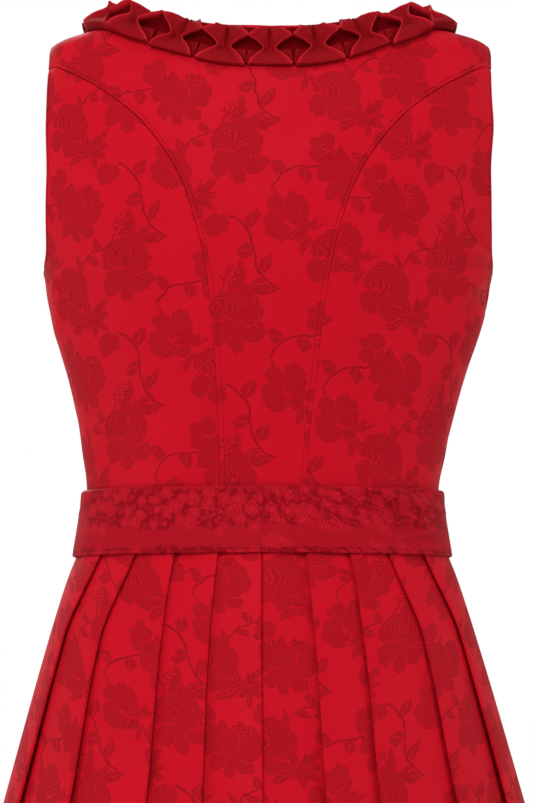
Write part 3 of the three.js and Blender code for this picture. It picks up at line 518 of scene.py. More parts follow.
# Where a point of the cloth lies on the nearest copy of a motif, in units of the motif's reach.
motif_sockets = ["U", "V", "Across", "Up", "Cosine", "Sine", "Reach"]
motif_place = new_group("motif_place", motif_sockets, [
    ("dx", "SUBTRACT", "U", "Across"), ("dy", "SUBTRACT", "V", "Up"),
    ("columns", "DIVIDE", "dx", REPEAT), ("column", "ROUND", "columns"),
    ("lx", "MULTIPLY_ADD", "column", -REPEAT, "dx"),
    ("drop", "MULTIPLY_ADD", "column", -REPEAT / 2, "dy"), ("rows", "DIVIDE", "drop", REPEAT),
    ("row", "ROUND", "rows"), ("ly", "MULTIPLY_ADD", "row", -REPEAT, "drop"),
    ("bx", "DIVIDE", "lx", "Reach"), ("by", "DIVIDE", "ly", "Reach"), ("x1", "MULTIPLY", "by", "Sine"),
    ("x", "MULTIPLY_ADD", "bx", "Cosine", "x1"), ("y1", "MULTIPLY", "by", "Cosine"),
    ("y2", "MULTIPLY", "bx", "Sine"), ("y", "SUBTRACT", "y1", "y2"), ("xx", "MULTIPLY", "x", "x"),
    ("rr", "MULTIPLY_ADD", "y", "y", "xx"), ("r", "SQRT", "rr"),
    ("a", "ARCTAN2", "y", "x")], dict(X="x", Y="y", R="r", A="a"))

# A full bloom seen from its side: a few broad petals of unequal width round an off-centre heart,
# thin open lines between them, a frilled rim, and combed lines that follow every petal's edge.
bloom = new_group("bloom", ["R", "A", "Petals", "Lean", "Grain"], [
    ("aside", "ADD", "A", "Lean"), ("c1", "COSINE", "aside"), ("s1", "SINE", "aside"),
    ("warp", "MULTIPLY_ADD", "c1", 0.62, "A"), ("twist", "MULTIPLY_ADD", "R", 0.75, "warp"),
    ("half", "MULTIPLY", "Petals", 0.5), ("swing", "MULTIPLY", "twist", "half"),
    ("wave", "COSINE", "swing"), ("lobe", "ABSOLUTE", "wave"), ("round", "POWER", "lobe", 0.42),
    ("big", "MULTIPLY_ADD", "s1", 0.15, 0.43), ("a13", "MULTIPLY_ADD", "twist", 13.0, "Grain"),
    ("f1", "SINE", "a13"), ("rim1", "MULTIPLY_ADD", "round", 0.47, "big"),
    ("rim", "MULTIPLY_ADD", "f1", 0.030, "rim1"), ("in", "SUBTRACT", "rim", "R"),
    ("cover", "CLAMPED MULTIPLY_ADD", "in", 40.0, 0.5),
    ("edge", "CLAMPED MULTIPLY_ADD", "in", -34.0, 1.0), ("gap0", "MULTIPLY", "lobe", "R"),
    ("gap3", "CLAMPED MULTIPLY_ADD", "gap0", -22.0, 1.2),
    ("o2", "CLAMPED MULTIPLY_ADD", "R", 8.0, -0.9), ("gap", "MULTIPLY", "gap3", "o2"),
    ("aslant", "SINE", "swing"), ("beside", "MULTIPLY", "aslant", "R"),
    ("comb0", "MULTIPLY", "beside", 64.0), ("comb1", "MULTIPLY_ADD", "R", 27.0, "comb0"),
    ("comb2", "MULTIPLY_ADD", "Grain", 1.3, "comb1"), ("comb", "SINE", "comb2"),
    ("deep0", "MULTIPLY_ADD", "comb", 0.33, 0.55), ("deep", "MULTIPLY_ADD", "edge", 0.48, "deep0"),
    ("kept", "MULTIPLY_ADD", "gap", -0.95, 1.0), ("t0", "MULTIPLY", "deep", "kept"),
    ("tone", "MULTIPLY", "t0", "cover")], dict(Cover="cover", Tone="tone"))

# A bending stem with toothed leaves on alternate sides, each with a light midrib and side veins.
branch = new_group("branch", ["X", "Y", "Grain"], [
    ("sway", "MULTIPLY", "X", 3.3), ("bend", "SINE", "sway"), ("y", "MULTIPLY_ADD", "bend", -0.16, "Y"),
    ("off", "ABSOLUTE", "y"), ("stem0", "MULTIPLY_ADD", "off", -44.0, 1.5),
    ("stem", "MINIMUM", "stem0", 1.0), ("steps", "DIVIDE", "X", 0.46), ("i", "ROUND", "steps"),
    ("lx", "MULTIPLY_ADD", "i", -0.46, "X"), ("half", "MULTIPLY", "i", 0.5), ("odd", "FRACT", "half"),
    ("side", "MULTIPLY_ADD", "odd", 4.0, -1.0), ("sy", "MULTIPLY", "y", "side"),
    ("al1", "MULTIPLY", "sy", 0.86), ("al", "MULTIPLY_ADD", "lx", 0.50, "al1"),
    ("ac1", "MULTIPLY", "sy", -0.50), ("ac", "MULTIPLY_ADD", "lx", 0.86, "ac1"),
    ("t", "CLAMPED DIVIDE", "al", 0.50), ("pt", "MULTIPLY", "t", math.pi), ("b0", "SINE", "pt"),
    ("belly", "POWER", "b0", 0.8), ("teeth", "MULTIPLY", "t", 50.0), ("tooth", "SINE", "teeth"),
    ("w0", "MULTIPLY_ADD", "tooth", 0.013, 0.150), ("wide", "MULTIPLY", "w0", "belly"),
    ("aoff", "ABSOLUTE", "ac"), ("in", "SUBTRACT", "wide", "aoff"),
    ("leaf", "CLAMPED MULTIPLY", "in", 50.0), ("rib", "CLAMPED MULTIPLY_ADD", "aoff", -80.0, 1.4),
    ("sv1", "MULTIPLY_ADD", "aoff", -1.1, "al"), ("sv2", "MULTIPLY_ADD", "sv1", 95.0, "Grain"),
    ("sv", "SINE", "sv2"), ("tone1", "MULTIPLY_ADD", "sv", 0.26, 0.66),
    ("kept", "MULTIPLY_ADD", "rib", -0.85, 1.0), ("tone2", "MULTIPLY", "tone1", "kept"),
    ("tone3", "MULTIPLY", "tone2", "leaf"), ("tone4", "MAXIMUM", "tone3", "stem"),
    ("ends", "ABSOLUTE", "X"), ("within", "CLAMPED MULTIPLY_ADD", "ends", -30.0, 29.0),
    ("tone", "MULTIPLY", "tone4", "within")],
    dict(Tone="tone"))

# A fan of narrow leaves round one point.
spray = new_group("spray", ["R", "A", "Leaves", "Grain"], [
    ("turns0", "DIVIDE", "A", 2 * math.pi), ("turns", "MULTIPLY", "turns0", "Leaves"),
    ("i", "ROUND", "turns"), ("part", "SUBTRACT", "turns", "i"), ("angle0", "DIVIDE", "part", "Leaves"),
    ("angle", "MULTIPLY", "angle0", 2 * math.pi), ("c", "COSINE", "angle"), ("s", "SINE", "angle"),
    ("al", "MULTIPLY", "c", "R"), ("ac0", "MULTIPLY", "s", "R"), ("ac", "ABSOLUTE", "ac0"),
    ("odd", "MULTIPLY", "i", 2.4), ("luck", "SINE", "odd"),
    ("long", "MULTIPLY_ADD", "luck", -0.22, 1.2), ("t0", "MULTIPLY", "al", "long"),
    ("t", "CLAMPED MULTIPLY_ADD", "t0", 1.0, -0.1), ("pt", "MULTIPLY", "t", math.pi),
    ("b0", "SINE", "pt"), ("belly", "POWER", "b0", 0.8), ("teeth", "MULTIPLY", "t", 38.0),
    ("tooth", "SINE", "teeth"), ("w0", "MULTIPLY_ADD", "tooth", 0.012, 0.19),
    ("in0", "MULTIPLY", "belly", "w0"), ("in", "SUBTRACT", "in0", "ac"),
    ("leaf", "CLAMPED MULTIPLY", "in", 24.0), ("rib", "CLAMPED MULTIPLY_ADD", "ac", -44.0, 1.3),
    ("v0", "MULTIPLY_ADD", "ac", -1.4, "al"), ("v1", "MULTIPLY_ADD", "v0", 40.0, "Grain"),
    ("v", "SINE", "v1"), ("k0", "MULTIPLY_ADD", "v", 0.26, 0.66),
    ("kept", "MULTIPLY_ADD", "rib", -0.8, 1.0), ("k1", "MULTIPLY", "k0", "kept"),
    ("k2", "MULTIPLY", "k1", "leaf"), ("fan0", "ABSOLUTE", "A"),
    ("fan", "CLAMPED MULTIPLY_ADD", "fan0", -9.0, 21.0),
    ("tone", "MULTIPLY", "k2", "fan")], dict(Tone="tone"))

# The whole repeat: each motif's place in it in millimetres, its turn, reach and own shape.
MOTIFS = [
    dict(kind=bloom, at=(26, 28), turn=0.5, reach=27.0, Petals=4.0, Lean=0.6),
    dict(kind=bloom, at=(83, 10), turn=2.5, reach=24.0, Petals=3.0, Lean=2.2),
    dict(kind=bloom, at=(71, 73), turn=4.1, reach=26.0, Petals=5.0, Lean=4.0),
    dict(kind=bloom, at=(119, 48), turn=1.3, reach=21.5, Petals=3.0, Lean=5.2),
    dict(kind=bloom, at=(42, 104), turn=0.2, reach=11.5, Petals=2.0, Lean=1.0),
    dict(kind=bloom, at=(92, 100), turn=5.2, reach=13.5, Petals=3.0, Lean=3.0),
    dict(kind=branch, at=(14, 84), turn=0.95, reach=36.0),
    dict(kind=branch, at=(103, 84), turn=-0.55, reach=33.0),
    dict(kind=branch, at=(52, 46), turn=2.35, reach=25.0),
    dict(kind=spray, at=(62, 122), turn=1.4, reach=19.0, Leaves=7.0),
    dict(kind=spray, at=(56, -2), turn=-2.4, reach=18.0, Leaves=8.0),
    dict(kind=spray, at=(100, 34), turn=0.4, reach=17.0, Leaves=8.0),
    dict(kind=spray, at=(18, 62), turn=-1.0, reach=17.0, Leaves=9.0),
]
BERRIES = dict(at=(30, 66), turn=0.4, reach=11.0)


def dress_pattern():
    """The jacquard's tone: 0 on the satin ground, up to 1 on the darkest lines of its motifs."""
    group = bpy.data.node_groups.new("dress_pattern", "ShaderNodeTree")
    group.interface.new_socket("Cloth", in_out="INPUT", socket_type=ARROW)
    group.interface.new_socket("Tone", in_out="OUTPUT", socket_type=NUMBER)
    cloth = group.nodes.new("NodeGroupInput").outputs["Cloth"]
    unrest = add(group, "ShaderNodeTexNoise", {"Vector": cloth, "Scale": 95.0, "Detail": 2.0})
    moved = add(group, "ShaderNodeVectorMath", [unrest.outputs["Color"], (0.0065, 0.0065, 0.0), cloth],
                operation="MULTIPLY_ADD")
    place = add(group, "ShaderNodeSeparateXYZ", [moved.outputs[0]])
    known = dict(U=place.outputs["X"], V=place.outputs["Y"], fine=unrest.outputs["Fac"])
    work_out(group, known, [("grain", "MULTIPLY", "fine", 16.0)])
    tones = {bloom: [], branch: [], spray: []}
    for row in MOTIFS + [dict(BERRIES, kind=None)]:
        across, up = row["at"]
        spot = add(group, "ShaderNodeGroup", dict(
            U=known["U"], V=known["V"], Across=across / 1000, Up=up / 1000, Reach=row["reach"] / 1000,
            Cosine=math.cos(row["turn"]), Sine=math.sin(row["turn"])), node_tree=motif_place)
        if row["kind"] is None:
            known["r"] = spot.outputs["R"]
            continue
        shape = add(group, "ShaderNodeGroup", node_tree=row["kind"])
        for socket in shape.inputs:
            if socket.name in spot.outputs:
                group.links.new(spot.outputs[socket.name], socket)
            elif socket.name == "Grain":
                group.links.new(known["grain"], socket)
            else:
                socket.default_value = row[socket.name]
        tones[row["kind"]].append(shape)
    dots = add(group, "ShaderNodeTexVoronoi", {"Vector": cloth, "Scale": 400.0, "Randomness": 0.6},
               voronoi_dimensions="2D")
    known["d"] = dots.outputs["Distance"]
    for result, shapes, output in (("cover", tones[bloom], "Cover"), ("flowers", tones[bloom], "Tone"),
                                   ("leaves", tones[branch] + tones[spray], "Tone")):
        known[result] = shapes[0].outputs[output]
        for shape in shapes[1:]:
            work_out(group, known, [(result, "MAXIMUM", result, shape.outputs[output])])
    work_out(group, known, [
            ("dot0", "MULTIPLY_ADD", "d", -9.0, 3.4), ("dot1", "MINIMUM", "dot0", 0.9),
            ("dot", "MAXIMUM", "dot1", 0.0), ("near", "CLAMPED MULTIPLY_ADD", "r", -6.0, 5.0),
            ("berries", "MULTIPLY", "dot", "near"), ("leafage", "MAXIMUM", "leaves", "berries"),
            ("free", "SUBTRACT", 1.0, "cover"), ("behind", "MULTIPLY", "leafage", "free"),
            ("tone", "MAXIMUM", "flowers", "behind")])
    end = group.nodes.new("NodeGroupOutput")
    group.links.new(known["tone"], end.inputs["Tone"])
    return group


jacquard_pattern = dress_pattern()


def woven_surface(tree, known, dark, light, bump, shine, gloss=None):
    """The surface of a woven cloth: two colours mixed by tone and shaded by its threads, which also
    raise it by a height in metres, and a dyed shine and sheen."""
    base = add(tree, "ShaderNodeMix", {"Factor": known["tone"], "A": linear(dark), "B": linear(light)},
               data_type="RGBA")
    shaded = add(tree, "ShaderNodeVectorMath", {0: base.outputs[2], "Scale": known["light"]},
                 operation="SCALE")
    raised = add(tree, "ShaderNodeBump", {"Height": known["relief"], "Strength": bump[0],
                                          "Distance": bump[1]})
    surface = add(tree, "ShaderNodeBsdfPrincipled", {
        "Base Color": shaded.outputs[0], "Roughness": known["gloss"] if gloss is None else gloss,
        "Normal": raised.outputs[0], "Specular IOR Level": shine[0], "Specular Tint": linear(shine[1]),
        "Sheen Weight": shine[2], "Sheen Roughness": 0.4, "Sheen Tint": linear("#F02030")})
    add(tree, "ShaderNodeOutputMaterial", {"Surface": surface.outputs["BSDF"]})


def jacquard(name, ground, motif_colour, weave_mm=1.5):
    """Cotton and viscose jacquard: satin ground that gleams softly, and matt twill motifs whose
    threads lie the other way and so look darker. The diagonal twill is drawn coarser than real."""
    material = new_material(name)
    tree = material.node_tree
    cloth = add(tree, "ShaderNodeUVMap", uv_map="cloth").outputs[0]
    pattern = add(tree, "ShaderNodeGroup", node_tree=jacquard_pattern)
    tree.links.new(cloth, pattern.inputs["Cloth"])
    place = add(tree, "ShaderNodeSeparateXYZ", [cloth])
    fleck = add(tree, "ShaderNodeTexNoise", {"Vector": cloth, "Scale": 800.0, "Detail": 2.0})
    wash = add(tree, "ShaderNodeTexNoise", {"Vector": cloth, "Scale": 16.0, "Detail": 3.0})
    known = dict(tone=pattern.outputs["Tone"], u=place.outputs["X"], v=place.outputs["Y"],
                 fleck=fleck.outputs["Fac"], wash=wash.outputs["Fac"])
    pitch = 2000 * math.pi / weave_mm
    work_out(tree, known, [
            ("diagonal", "SUBTRACT", "v", "u"), ("rib0", "MULTIPLY", "diagonal", pitch * 0.7),
            ("rib", "SINE", "rib0"), ("weft0", "MULTIPLY", "v", pitch), ("weft", "SINE", "weft0"),
            ("l0", "MULTIPLY_ADD", "rib", 0.045, 0.72), ("l1", "MULTIPLY_ADD", "weft", 0.025, "l0"),
            ("l2", "MULTIPLY_ADD", "fleck", 0.42, "l1"), ("light", "MULTIPLY_ADD", "wash", 0.14, "l2"),
            ("r0", "MULTIPLY", "rib", 0.10), ("r1", "MULTIPLY_ADD", "weft", 0.06, "r0"),
            ("relief", "MULTIPLY_ADD", "tone", 0.8, "r1"),
            ("gloss", "MULTIPLY_ADD", "tone", 0.14, 0.48)])
    woven_surface(tree, known, ground, motif_colour, (0.3, 0.0002), (0.08, "#FF8A92", 0.05))
    return material


dress_cloth = jacquard("floral_jacquard", "#C81123", "#97101B")

# Polyester sewing thread, a little glossier than the cloth. It is dyed to match the cloth but coloured far
# darker than it: the extra darkness is painted shade of the needle holes and of the stitches sunk in their
# furrow.
thread = new_material("sewing_thread")
tree = thread.node_tree
place = add(tree, "ShaderNodeTexCoord").outputs["Object"]
twist = add(tree, "ShaderNodeTexWave", {"Vector": place, "Scale": 900.0}, bands_direction="DIAGONAL")
# Both colours are far darker than the cloth: painted shade of the needle holes and sunk stitches, on top of
# the thread's own red.
tint = add(tree, "ShaderNodeMix", {"Factor": twist.outputs["Fac"], "A": linear("#5A060E"),
                                   "B": linear("#7C0A15")}, data_type="RGBA")
strand = add(tree, "ShaderNodeBsdfPrincipled", {
    "Base Color": tint.outputs[2], "Roughness": 0.6, "Specular IOR Level": 0.15,
    "Specular Tint": linear("#FF8A92")})
add(tree, "ShaderNodeOutputMaterial", {"Surface": strand.outputs["BSDF"]})

# The stitches of a seam: a short drop of thread at every step along a line.
stitching = bpy.data.node_groups.new("topstitching", "GeometryNodeTree")
for socket, kind in {"Line": "NodeSocketGeometry", "Pitch": NUMBER, "Length": NUMBER,
                     "Thickness": NUMBER, "Thread": "NodeSocketMaterial"}.items():
    stitching.interface.new_socket(socket, in_out="INPUT", socket_type=kind)
stitching.interface.new_socket("Stitches", in_out="OUTPUT", socket_type="NodeSocketGeometry")
start = stitching.nodes.new("NodeGroupInput")
along = add(stitching, "GeometryNodeCurveToPoints", {"Curve": start.outputs["Line"],
                                                     "Length": start.outputs["Pitch"]}, mode="LENGTH")
drop = add(stitching, "GeometryNodeMeshIcoSphere", {"Radius": 1.0, "Subdivisions": 1})
size = add(stitching, "ShaderNodeCombineXYZ", {
    "X": start.outputs["Thickness"], "Y": start.outputs["Thickness"], "Z": start.outputs["Length"]})
shaped = add(stitching, "GeometryNodeTransform", {"Geometry": drop.outputs["Mesh"], "Scale": size.outputs[0]})
laid = add(stitching, "GeometryNodeInstanceOnPoints", {"Points": along.outputs["Points"],
                                                       "Instance": shaped.outputs[0],
                                                       "Rotation": along.outputs["Rotation"]})
real = add(stitching, "GeometryNodeRealizeInstances", {0: laid.outputs[0]})
dyed = add(stitching, "GeometryNodeSetMaterial", {"Geometry": real.outputs[0],
                                                  "Material": start.outputs["Thread"]})
end = stitching.nodes.new("NodeGroupOutput")
stitching.links.new(dyed.outputs[0], end.inputs[0])


def stitched(name, lines, pitch=2.8, length=1.0, thickness=0.32):
    """Rows of stitches along lines on the cloth, as one plain mesh."""
    path = bpy.data.curves.new(name, "CURVE")
    path.dimensions = "3D"
    for line in lines:
        spline = path.splines.new("POLY")
        spline.points.add(len(line) - 1)
        points = placed(line)
        spline.points.foreach_set("co", np.hstack([points, np.ones((len(line), 1))]).reshape(-1))
    row = bpy.data.objects.new(name + "_line", path)
    bpy.context.collection.objects.link(row)
    modifier = row.modifiers.new("stitches", "NODES")
    modifier.node_group = stitching
    values = dict(Pitch=pitch / 1000, Length=length / 1000, Thickness=thickness / 1000, Thread=thread)
    for item in stitching.interface.items_tree:
        if item.in_out == "INPUT" and item.name in values:
            modifier[item.identifier] = values[item.name]
    evaluated = row.evaluated_get(bpy.context.evaluated_depsgraph_get())
    mesh = bpy.data.meshes.new_from_object(evaluated)
    mesh.name = name
    bpy.data.objects.remove(row)
    piece = bpy.data.objects.new(name, mesh)
    bpy.context.collection.objects.link(piece)
    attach(piece, "root")


def turned_edge(off, stitch=None):
    """How far the cloth dips at a sewn edge, and in the furrow of a row of stitches."""
    dip = 0.95 * np.exp(-(off / 0.65) ** 2)
    return dip if stitch is None else dip + 0.24 * np.exp(-((off - stitch) / 0.7) ** 2)


def mirrored(grid):
    return grid[:, ::-1] * [-1, 1, 1]


def panel(name, grid, off, face, shift, stitch=None):
    x, z = grid[..., 0], grid[..., 2]
    rise = cloth_rise(x, z, face)
    outer = lifted(grid, rise - turned_edge(off, stitch))
    inner = lifted(grid, rise - BODICE_CLOTH)
    piece = sewn(name, outer, inner, unrolled(grid, shift), dress_cloth)
    return piece


SEAM_STITCH = 3.0  # from the princess seams, on the middle panels' side
half, off = with_edges(back_middle_half(), 50, left=False)
whole = np.concatenate([mirrored(half)[:, :-1], half], axis=1)
whole_off = np.concatenate([off[:, ::-1][:, :-1], off], axis=1)
back_middle = panel("back_middle_cloth", whole, whole_off, 1, (0, 0), SEAM_STITCH)
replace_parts(back_middle, "back_middle")

front_half, front_off = with_edges(front_middle_half(), 34)
for hand, grid, gap in (("left", front_half, front_off), ("right", mirrored(front_half), front_off[:, ::-1])):
    front = panel(f"front_middle_{hand}_cloth", grid, gap, -1, (0, 37), SEAM_STITCH)
    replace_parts(front, f"front_middle_{hand}")

for place, face, shift in (("back", 1, (41, 23)), ("front", -1, (-29, 64))):
    grid, gap = with_edges(side_panel(face), 26)
    for hand, one, edge in (("left", grid, gap), ("right", mirrored(grid), gap[:, ::-1])):
        side = panel(f"{place}_side_{hand}_cloth", one, edge, face, shift)
        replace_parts(side, f"{place}_side_{hand}")


# The seam allowances inside: strips pressed flat under each seam, which close it from behind.
ALLOWANCE_DEPTHS = (1.75, 2.4)  # of its two faces, under the panels' smooth outside


def allowance(name, line, reach=4.0):
    along = unit(np.gradient(line, axis=0))
    aside = np.cross(along, outward(line))[:, None]
    left = run_of(line)[-1] - run_of(line)
    wide = reach * np.clip(left / 8, 0.15, 1)[:, None] * np.linspace(-1, 1, 5)
    grid = on_torso(line[:, None] + aside * wide[..., None])
    x, z = grid[..., 0], grid[..., 2]
    flat = np.stack([wide, run_of(line)[:, None] + 0 * wide], -1) / 1000
    for hand, sign in (("left", 1), ("right", -1)):
        lowest = np.minimum(cloth_rise(sign * x, z, 1), cloth_rise(sign * x, z, -1))
        outer, inner = (lifted(grid, lowest - depth) * [sign, 1, 1] for depth in ALLOWANCE_DEPTHS)
        strip = sewn(f"{name}_{hand}", outer, inner, flat, dress_cloth)


side_z = np.linspace(1, 189, 60)
allowance("side_seam_allowance", np.stack([half_width_at(side_z), 0 * side_z, side_z], -1))
shoulder_end = half_edges(1)[0][-1]
allowance("shoulder_seam_allowance", straight(on_torso(NECK_SIDE), shoulder_end, 30)[1:])
allowance("back_princess_allowance", half_edges(1)[1][2:])
allowance("front_princess_allowance", half_edges(-1)[1][2:])


def on_both_hands(line, face, height):
    """The same line on the wearer's left and right, just off the creased cloth."""
    lines = []
    for hand in (1, -1):
        rise = cloth_rise(hand * line[:, 0], line[:, 2], face)
        lines.append(lifted(line, rise + height) * [hand, 1, 1])
    return lines


def seam_line(face):
    _, princess, _ = half_edges(face)
    return on_both_hands(shifted(princess, -SEAM_STITCH)[4:-3], face, -0.08)


ARMHOLE_CENTRE = np.array([172.0, -4.0, 275.0])
ARMHOLE_STITCH = 3.4  # from the armhole's edge


def armhole_line(face):
    armhole, _, _ = half_edges(face)
    line = armhole[4:-4:4]
    aside = np.cross(unit(np.gradient(line, axis=0)), outward(line))
    aside *= np.where(((line - ARMHOLE_CENTRE) * aside).sum(-1, keepdims=True) < 0, -1, 1)
    return on_both_hands(on_torso(line + aside * ARMHOLE_STITCH), face, 0.1)


stitched("princess_stitching", seam_line(1) + seam_line(-1))
stitched("armhole_stitching", armhole_line(1) + armhole_line(-1))

# ---------------------------------------------------------------- neckline trim
# A folded ribbon of the dress cloth, laid in box pleats round the neckline. Neighbouring pleats are
# tacked edge to edge a third of the way down, and each is nipped across its middle, so their fold
# edges zigzag and a mouth opens between every two. Here across is 0 at the neck and 1 outside.
TRIM_WIDTH = 35
TRIM_PLEATS = 25
TRIM_BACK_PLEATS = 9
TRIM_CLEARANCE = 0.8
TRIM_SET_IN = 3.6
SHOULDER_SWELL = dict(height=0.8, pleats=2.1)
TRIM_EDGES = table(
    "across half_box fold middle slit mouth",
    (0, 0.30, 3.4, 2.8, 0.4, 0.8), (0.08, 0.31, 5.0, 3.6, 0.4, 0.9), (0.18, 0.38, 7.4, 4.0, 0.4, 1.0),
    (0.28, 0.47, 9.2, 4.2, 0.5, 3.6), (0.33, 0.493, 10.2, 3.6, 0.5, 6.4),
    (0.365, 0.43, 9.8, 3.0, 0.6, 2.6), (0.43, 0.29, 8.8, 2.2, 0.6, 1.0),
    (0.52, 0.185, 7.6, 1.5, 0.7, 0.7), (0.61, 0.125, 7.2, 1.3, 1.0, 0.6),
    (0.66, 0.15, 7.0, 2.0, 1.8, 0.4), (0.76, 0.26, 6.8, 3.8, 3.8, 0.2), (0.90, 0.395, 6.0, 4.4, 4.4, 0.2),
    (1, 0.448, 5.0, 3.8, 3.8, 0.2))


def neck_points():
    front = on_face(FRONT_NECKLINE["x"], FRONT_NECKLINE["z"], -1)
    back = on_face(BACK_NECKLINE["x"], BACK_NECKLINE["z"], 1)[::-1]
    half = np.vstack([front, on_torso(NECK_SIDE), back])
    return np.vstack([half, half[1:-1][::-1] * [-1, 1, 1]])


neck_loop = smooth_line(neck_points(), closed=True)
neck_run = run_of(neck_loop)


def trim_points(along, across, height):
    """Points of the trim: along the neckline as a share of it, across the strip, off the bodice."""
    where = (along % 1.0) * neck_run[-1]
    edge = on_torso(at_run(neck_loop, where))
    ahead, behind = (at_run(neck_loop, (where + step) % neck_run[-1]) for step in (1, -1))
    tangent = unit(ahead - behind)
    away = unit(np.cross(tangent, outward(edge)))
    p = edge
    for _ in range(3):
        p = on_torso(p + away * ((TRIM_SET_IN + across * TRIM_WIDTH) / 3)[:, None])
    from_shoulder = (np.abs(along - 0.5) * TRIM_PLEATS - TRIM_BACK_PLEATS / 2) / SHOULDER_SWELL["pleats"]
    swell = 1 + SHOULDER_SWELL["height"] * np.exp(-from_shoulder ** 2)
    return lifted(p, TRIM_CLEARANCE + height * swell)


# Satin-faced ribbon cut from the jacquard's plain side. Its colour carries painted light from the fold
# attribute: a painted highlight on the fold edges and painted shade in the mouths.
ribbon = new_material("folded_satin_trim")
tree = ribbon.node_tree
cloth = add(tree, "ShaderNodeUVMap", uv_map="cloth").outputs[0]
place = add(tree, "ShaderNodeSeparateXYZ", {0: cloth})
fleck = add(tree, "ShaderNodeTexNoise", {"Vector": cloth, "Scale": 700.0, "Detail": 2.0})
# The fold attribute is painted light: near 1 for the painted highlight on the fold edges, near 0 for the
# painted shade in the mouths.
fold = add(tree, "ShaderNodeAttribute", attribute_name="fold")
known = dict(u=place.outputs["X"], v=place.outputs["Y"], fleck=fleck.outputs["Fac"],
             tone=fold.outputs["Fac"])
work_out(tree, known, [
        ("d", "ADD", "u", "v"), ("rib0", "MULTIPLY", "d", 4200.0), ("relief", "SINE", "rib0"),
        ("l1", "MULTIPLY_ADD", "fleck", 0.34, 0.76), ("light", "MULTIPLY_ADD", "relief", 0.05, "l1")])
# Dark red is the painted shade of the mouths, bright red the painted highlight of the fold edges.
woven_surface(tree, known, "#70030A", "#D8242F", (0.2, 0.00008), (0.05, "#FF8A92", 0.04), gloss=0.62)


# The flap under each mouth: its place from the fold to the next, its height and its painted light, how far
# its colour is painted towards the highlight.
TRIM_TONGUE = ((0.2, 1.6, 0.2), (0.55, 2.4, 0.26), (0.9, 3.0, 0.4), (0.95, 0.4, 0.0))


def trim_piece(name, first, pleats, seed):
    chance = np.random.default_rng(seed)
    across = np.unique(np.append(np.linspace(0, 1, 27), [0.33, 0.365, 0.585, 0.6, 0.61, 0.615, 0.66]))
    half_box, fold, middle, slit, mouth = (through(TRIM_EDGES, "across", n)(across)
                                           for n in ("half_box", "fold", "middle", "slit", "mouth"))
    columns = []  # place along the trim, height, painted light (highlight on the folds, shade in the mouths), and how much longer its lower end is
    tongue = np.clip((across - 0.585) / 0.03, 0, 1) * (1 - 0.35 * across)
    flap = np.array([0.0, 0.03, 0.08, 0.17, 0.32, 0.5, 0.68, 0.83, 0.93])
    for k in range(pleats):
        centre = first + k + 0.5
        tall = fold * chance.uniform(0.9, 1.12)
        bent = chance.uniform(-0.035, 0.035) * np.sin(math.pi * across)
        longer, tilt = chance.uniform(-0.01, 0.045), chance.uniform(-0.09, 0.09)
        for side in (-1, 1):
            reach = np.minimum(half_box * chance.uniform(0.95, 1.04), 0.494)
            twist = chance.uniform(-3.2, 3.6) * np.sin(2.2 * math.pi * across + chance.uniform(0, 2))
            sag = chance.uniform(0.8, 2.2)
            half = []
            for f in flap:
                soft = f ** (1.6 if f > 0.2 else 1.0)
                rise = slit + (middle - slit) * min(1.0, f / 0.17) ** 0.7
                height = rise + (tall - middle) * soft ** 1.3
                height = height - 0.7 * sag * np.sin(math.pi * f) + twist * f * (1 - f)
                # The flap's painted light grows to a painted highlight near its fold edge.
                half.append((side * f * (reach - 0.01), np.maximum(height, slit), 0.27 + 0.6 * f ** 14))
            # Painted highlight on the fold edge's lip, then painted shade down into the mouth.
            half += [(side * (reach + 0.004), tall * 0.99, 1.0), (side * (reach + 0.017), tall * 0.86, 0.8),
                     (side * (reach + 0.014), tall * 0.55 + mouth * 0.3, 0.1),
                     (side * (reach - 0.03), np.minimum(mouth + 0.3, tall * 0.5), 0.0)]
            beyond = 0.5 - reach
            # The third value is the flap's painted highlight, scaled by how far the tongue stands out.
            for f, rise, painted_light in TRIM_TONGUE:
                unrest = 0.35 * (1 - f) * np.sin(9 * across + k)
                half.append((side * (reach + f * beyond), mouth + unrest + rise * tongue, painted_light * tongue))
            half.append((side * 0.5 - bent, mouth, 0.0))
            if side < 0:
                half = half[::-1][(1 if k else 0):]
            else:
                half = half[1:]
            columns += [(centre + place + bent, height, bright,
                         np.where(np.abs(place) < reach + 0.02, longer + tilt * place, -0.04))
                        for place, height, bright in half]
    along, height, bright, uneven = (np.array([np.broadcast_to(column[i], across.shape)
                                               for column in columns]).T for i in range(4))
    ends = 0.4 / (neck_run[-1] / TRIM_PLEATS)
    along = np.clip(along, first + ends, first + pleats - ends)
    share = along / TRIM_PLEATS
    uneven = uneven * np.clip((across[:, None] - 0.62) / 0.38, 0, 1)
    outer = np.array([trim_points(s, a + u, h) for s, a, u, h in zip(share, across, uneven, height)])
    inner = np.array([trim_points(s, a + u, 0 * s) for s, a, u in zip(share, across, uneven)])
    run = np.cumsum(np.linalg.norm(np.diff(outer, axis=1, prepend=outer[:, :1]), axis=2), axis=1)
    flat = np.stack([run, np.broadcast_to(across[:, None] * TRIM_WIDTH, run.shape)], -1) / 1000
    piece = sewn(name, outer, inner, flat, ribbon)
    # The fold attribute stores the painted light of each outer point; the inner wall gets none.
    attribute = piece.data.attributes.new("fold", "FLOAT", "POINT")
    values = np.concatenate([bright.reshape(-1), bright.reshape(-1) * 0])
    attribute.data.foreach_set("value", values.astype(np.float32))
    return piece


front_pleats = (TRIM_PLEATS - TRIM_BACK_PLEATS) // 2
TRIM_LENGTHS = (("neck_trim_front_left", 0, front_pleats, 0.53),
                ("neck_trim_back", front_pleats, TRIM_BACK_PLEATS, 0.60),
                ("neck_trim_front_right", front_pleats + TRIM_BACK_PLEATS, front_pleats, 0.53))
for seed, (node, first, pleats, cut) in enumerate(TRIM_LENGTHS):
    trim = trim_piece(node + "_cloth", first, pleats, 30 + seed)
    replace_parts(trim, node)

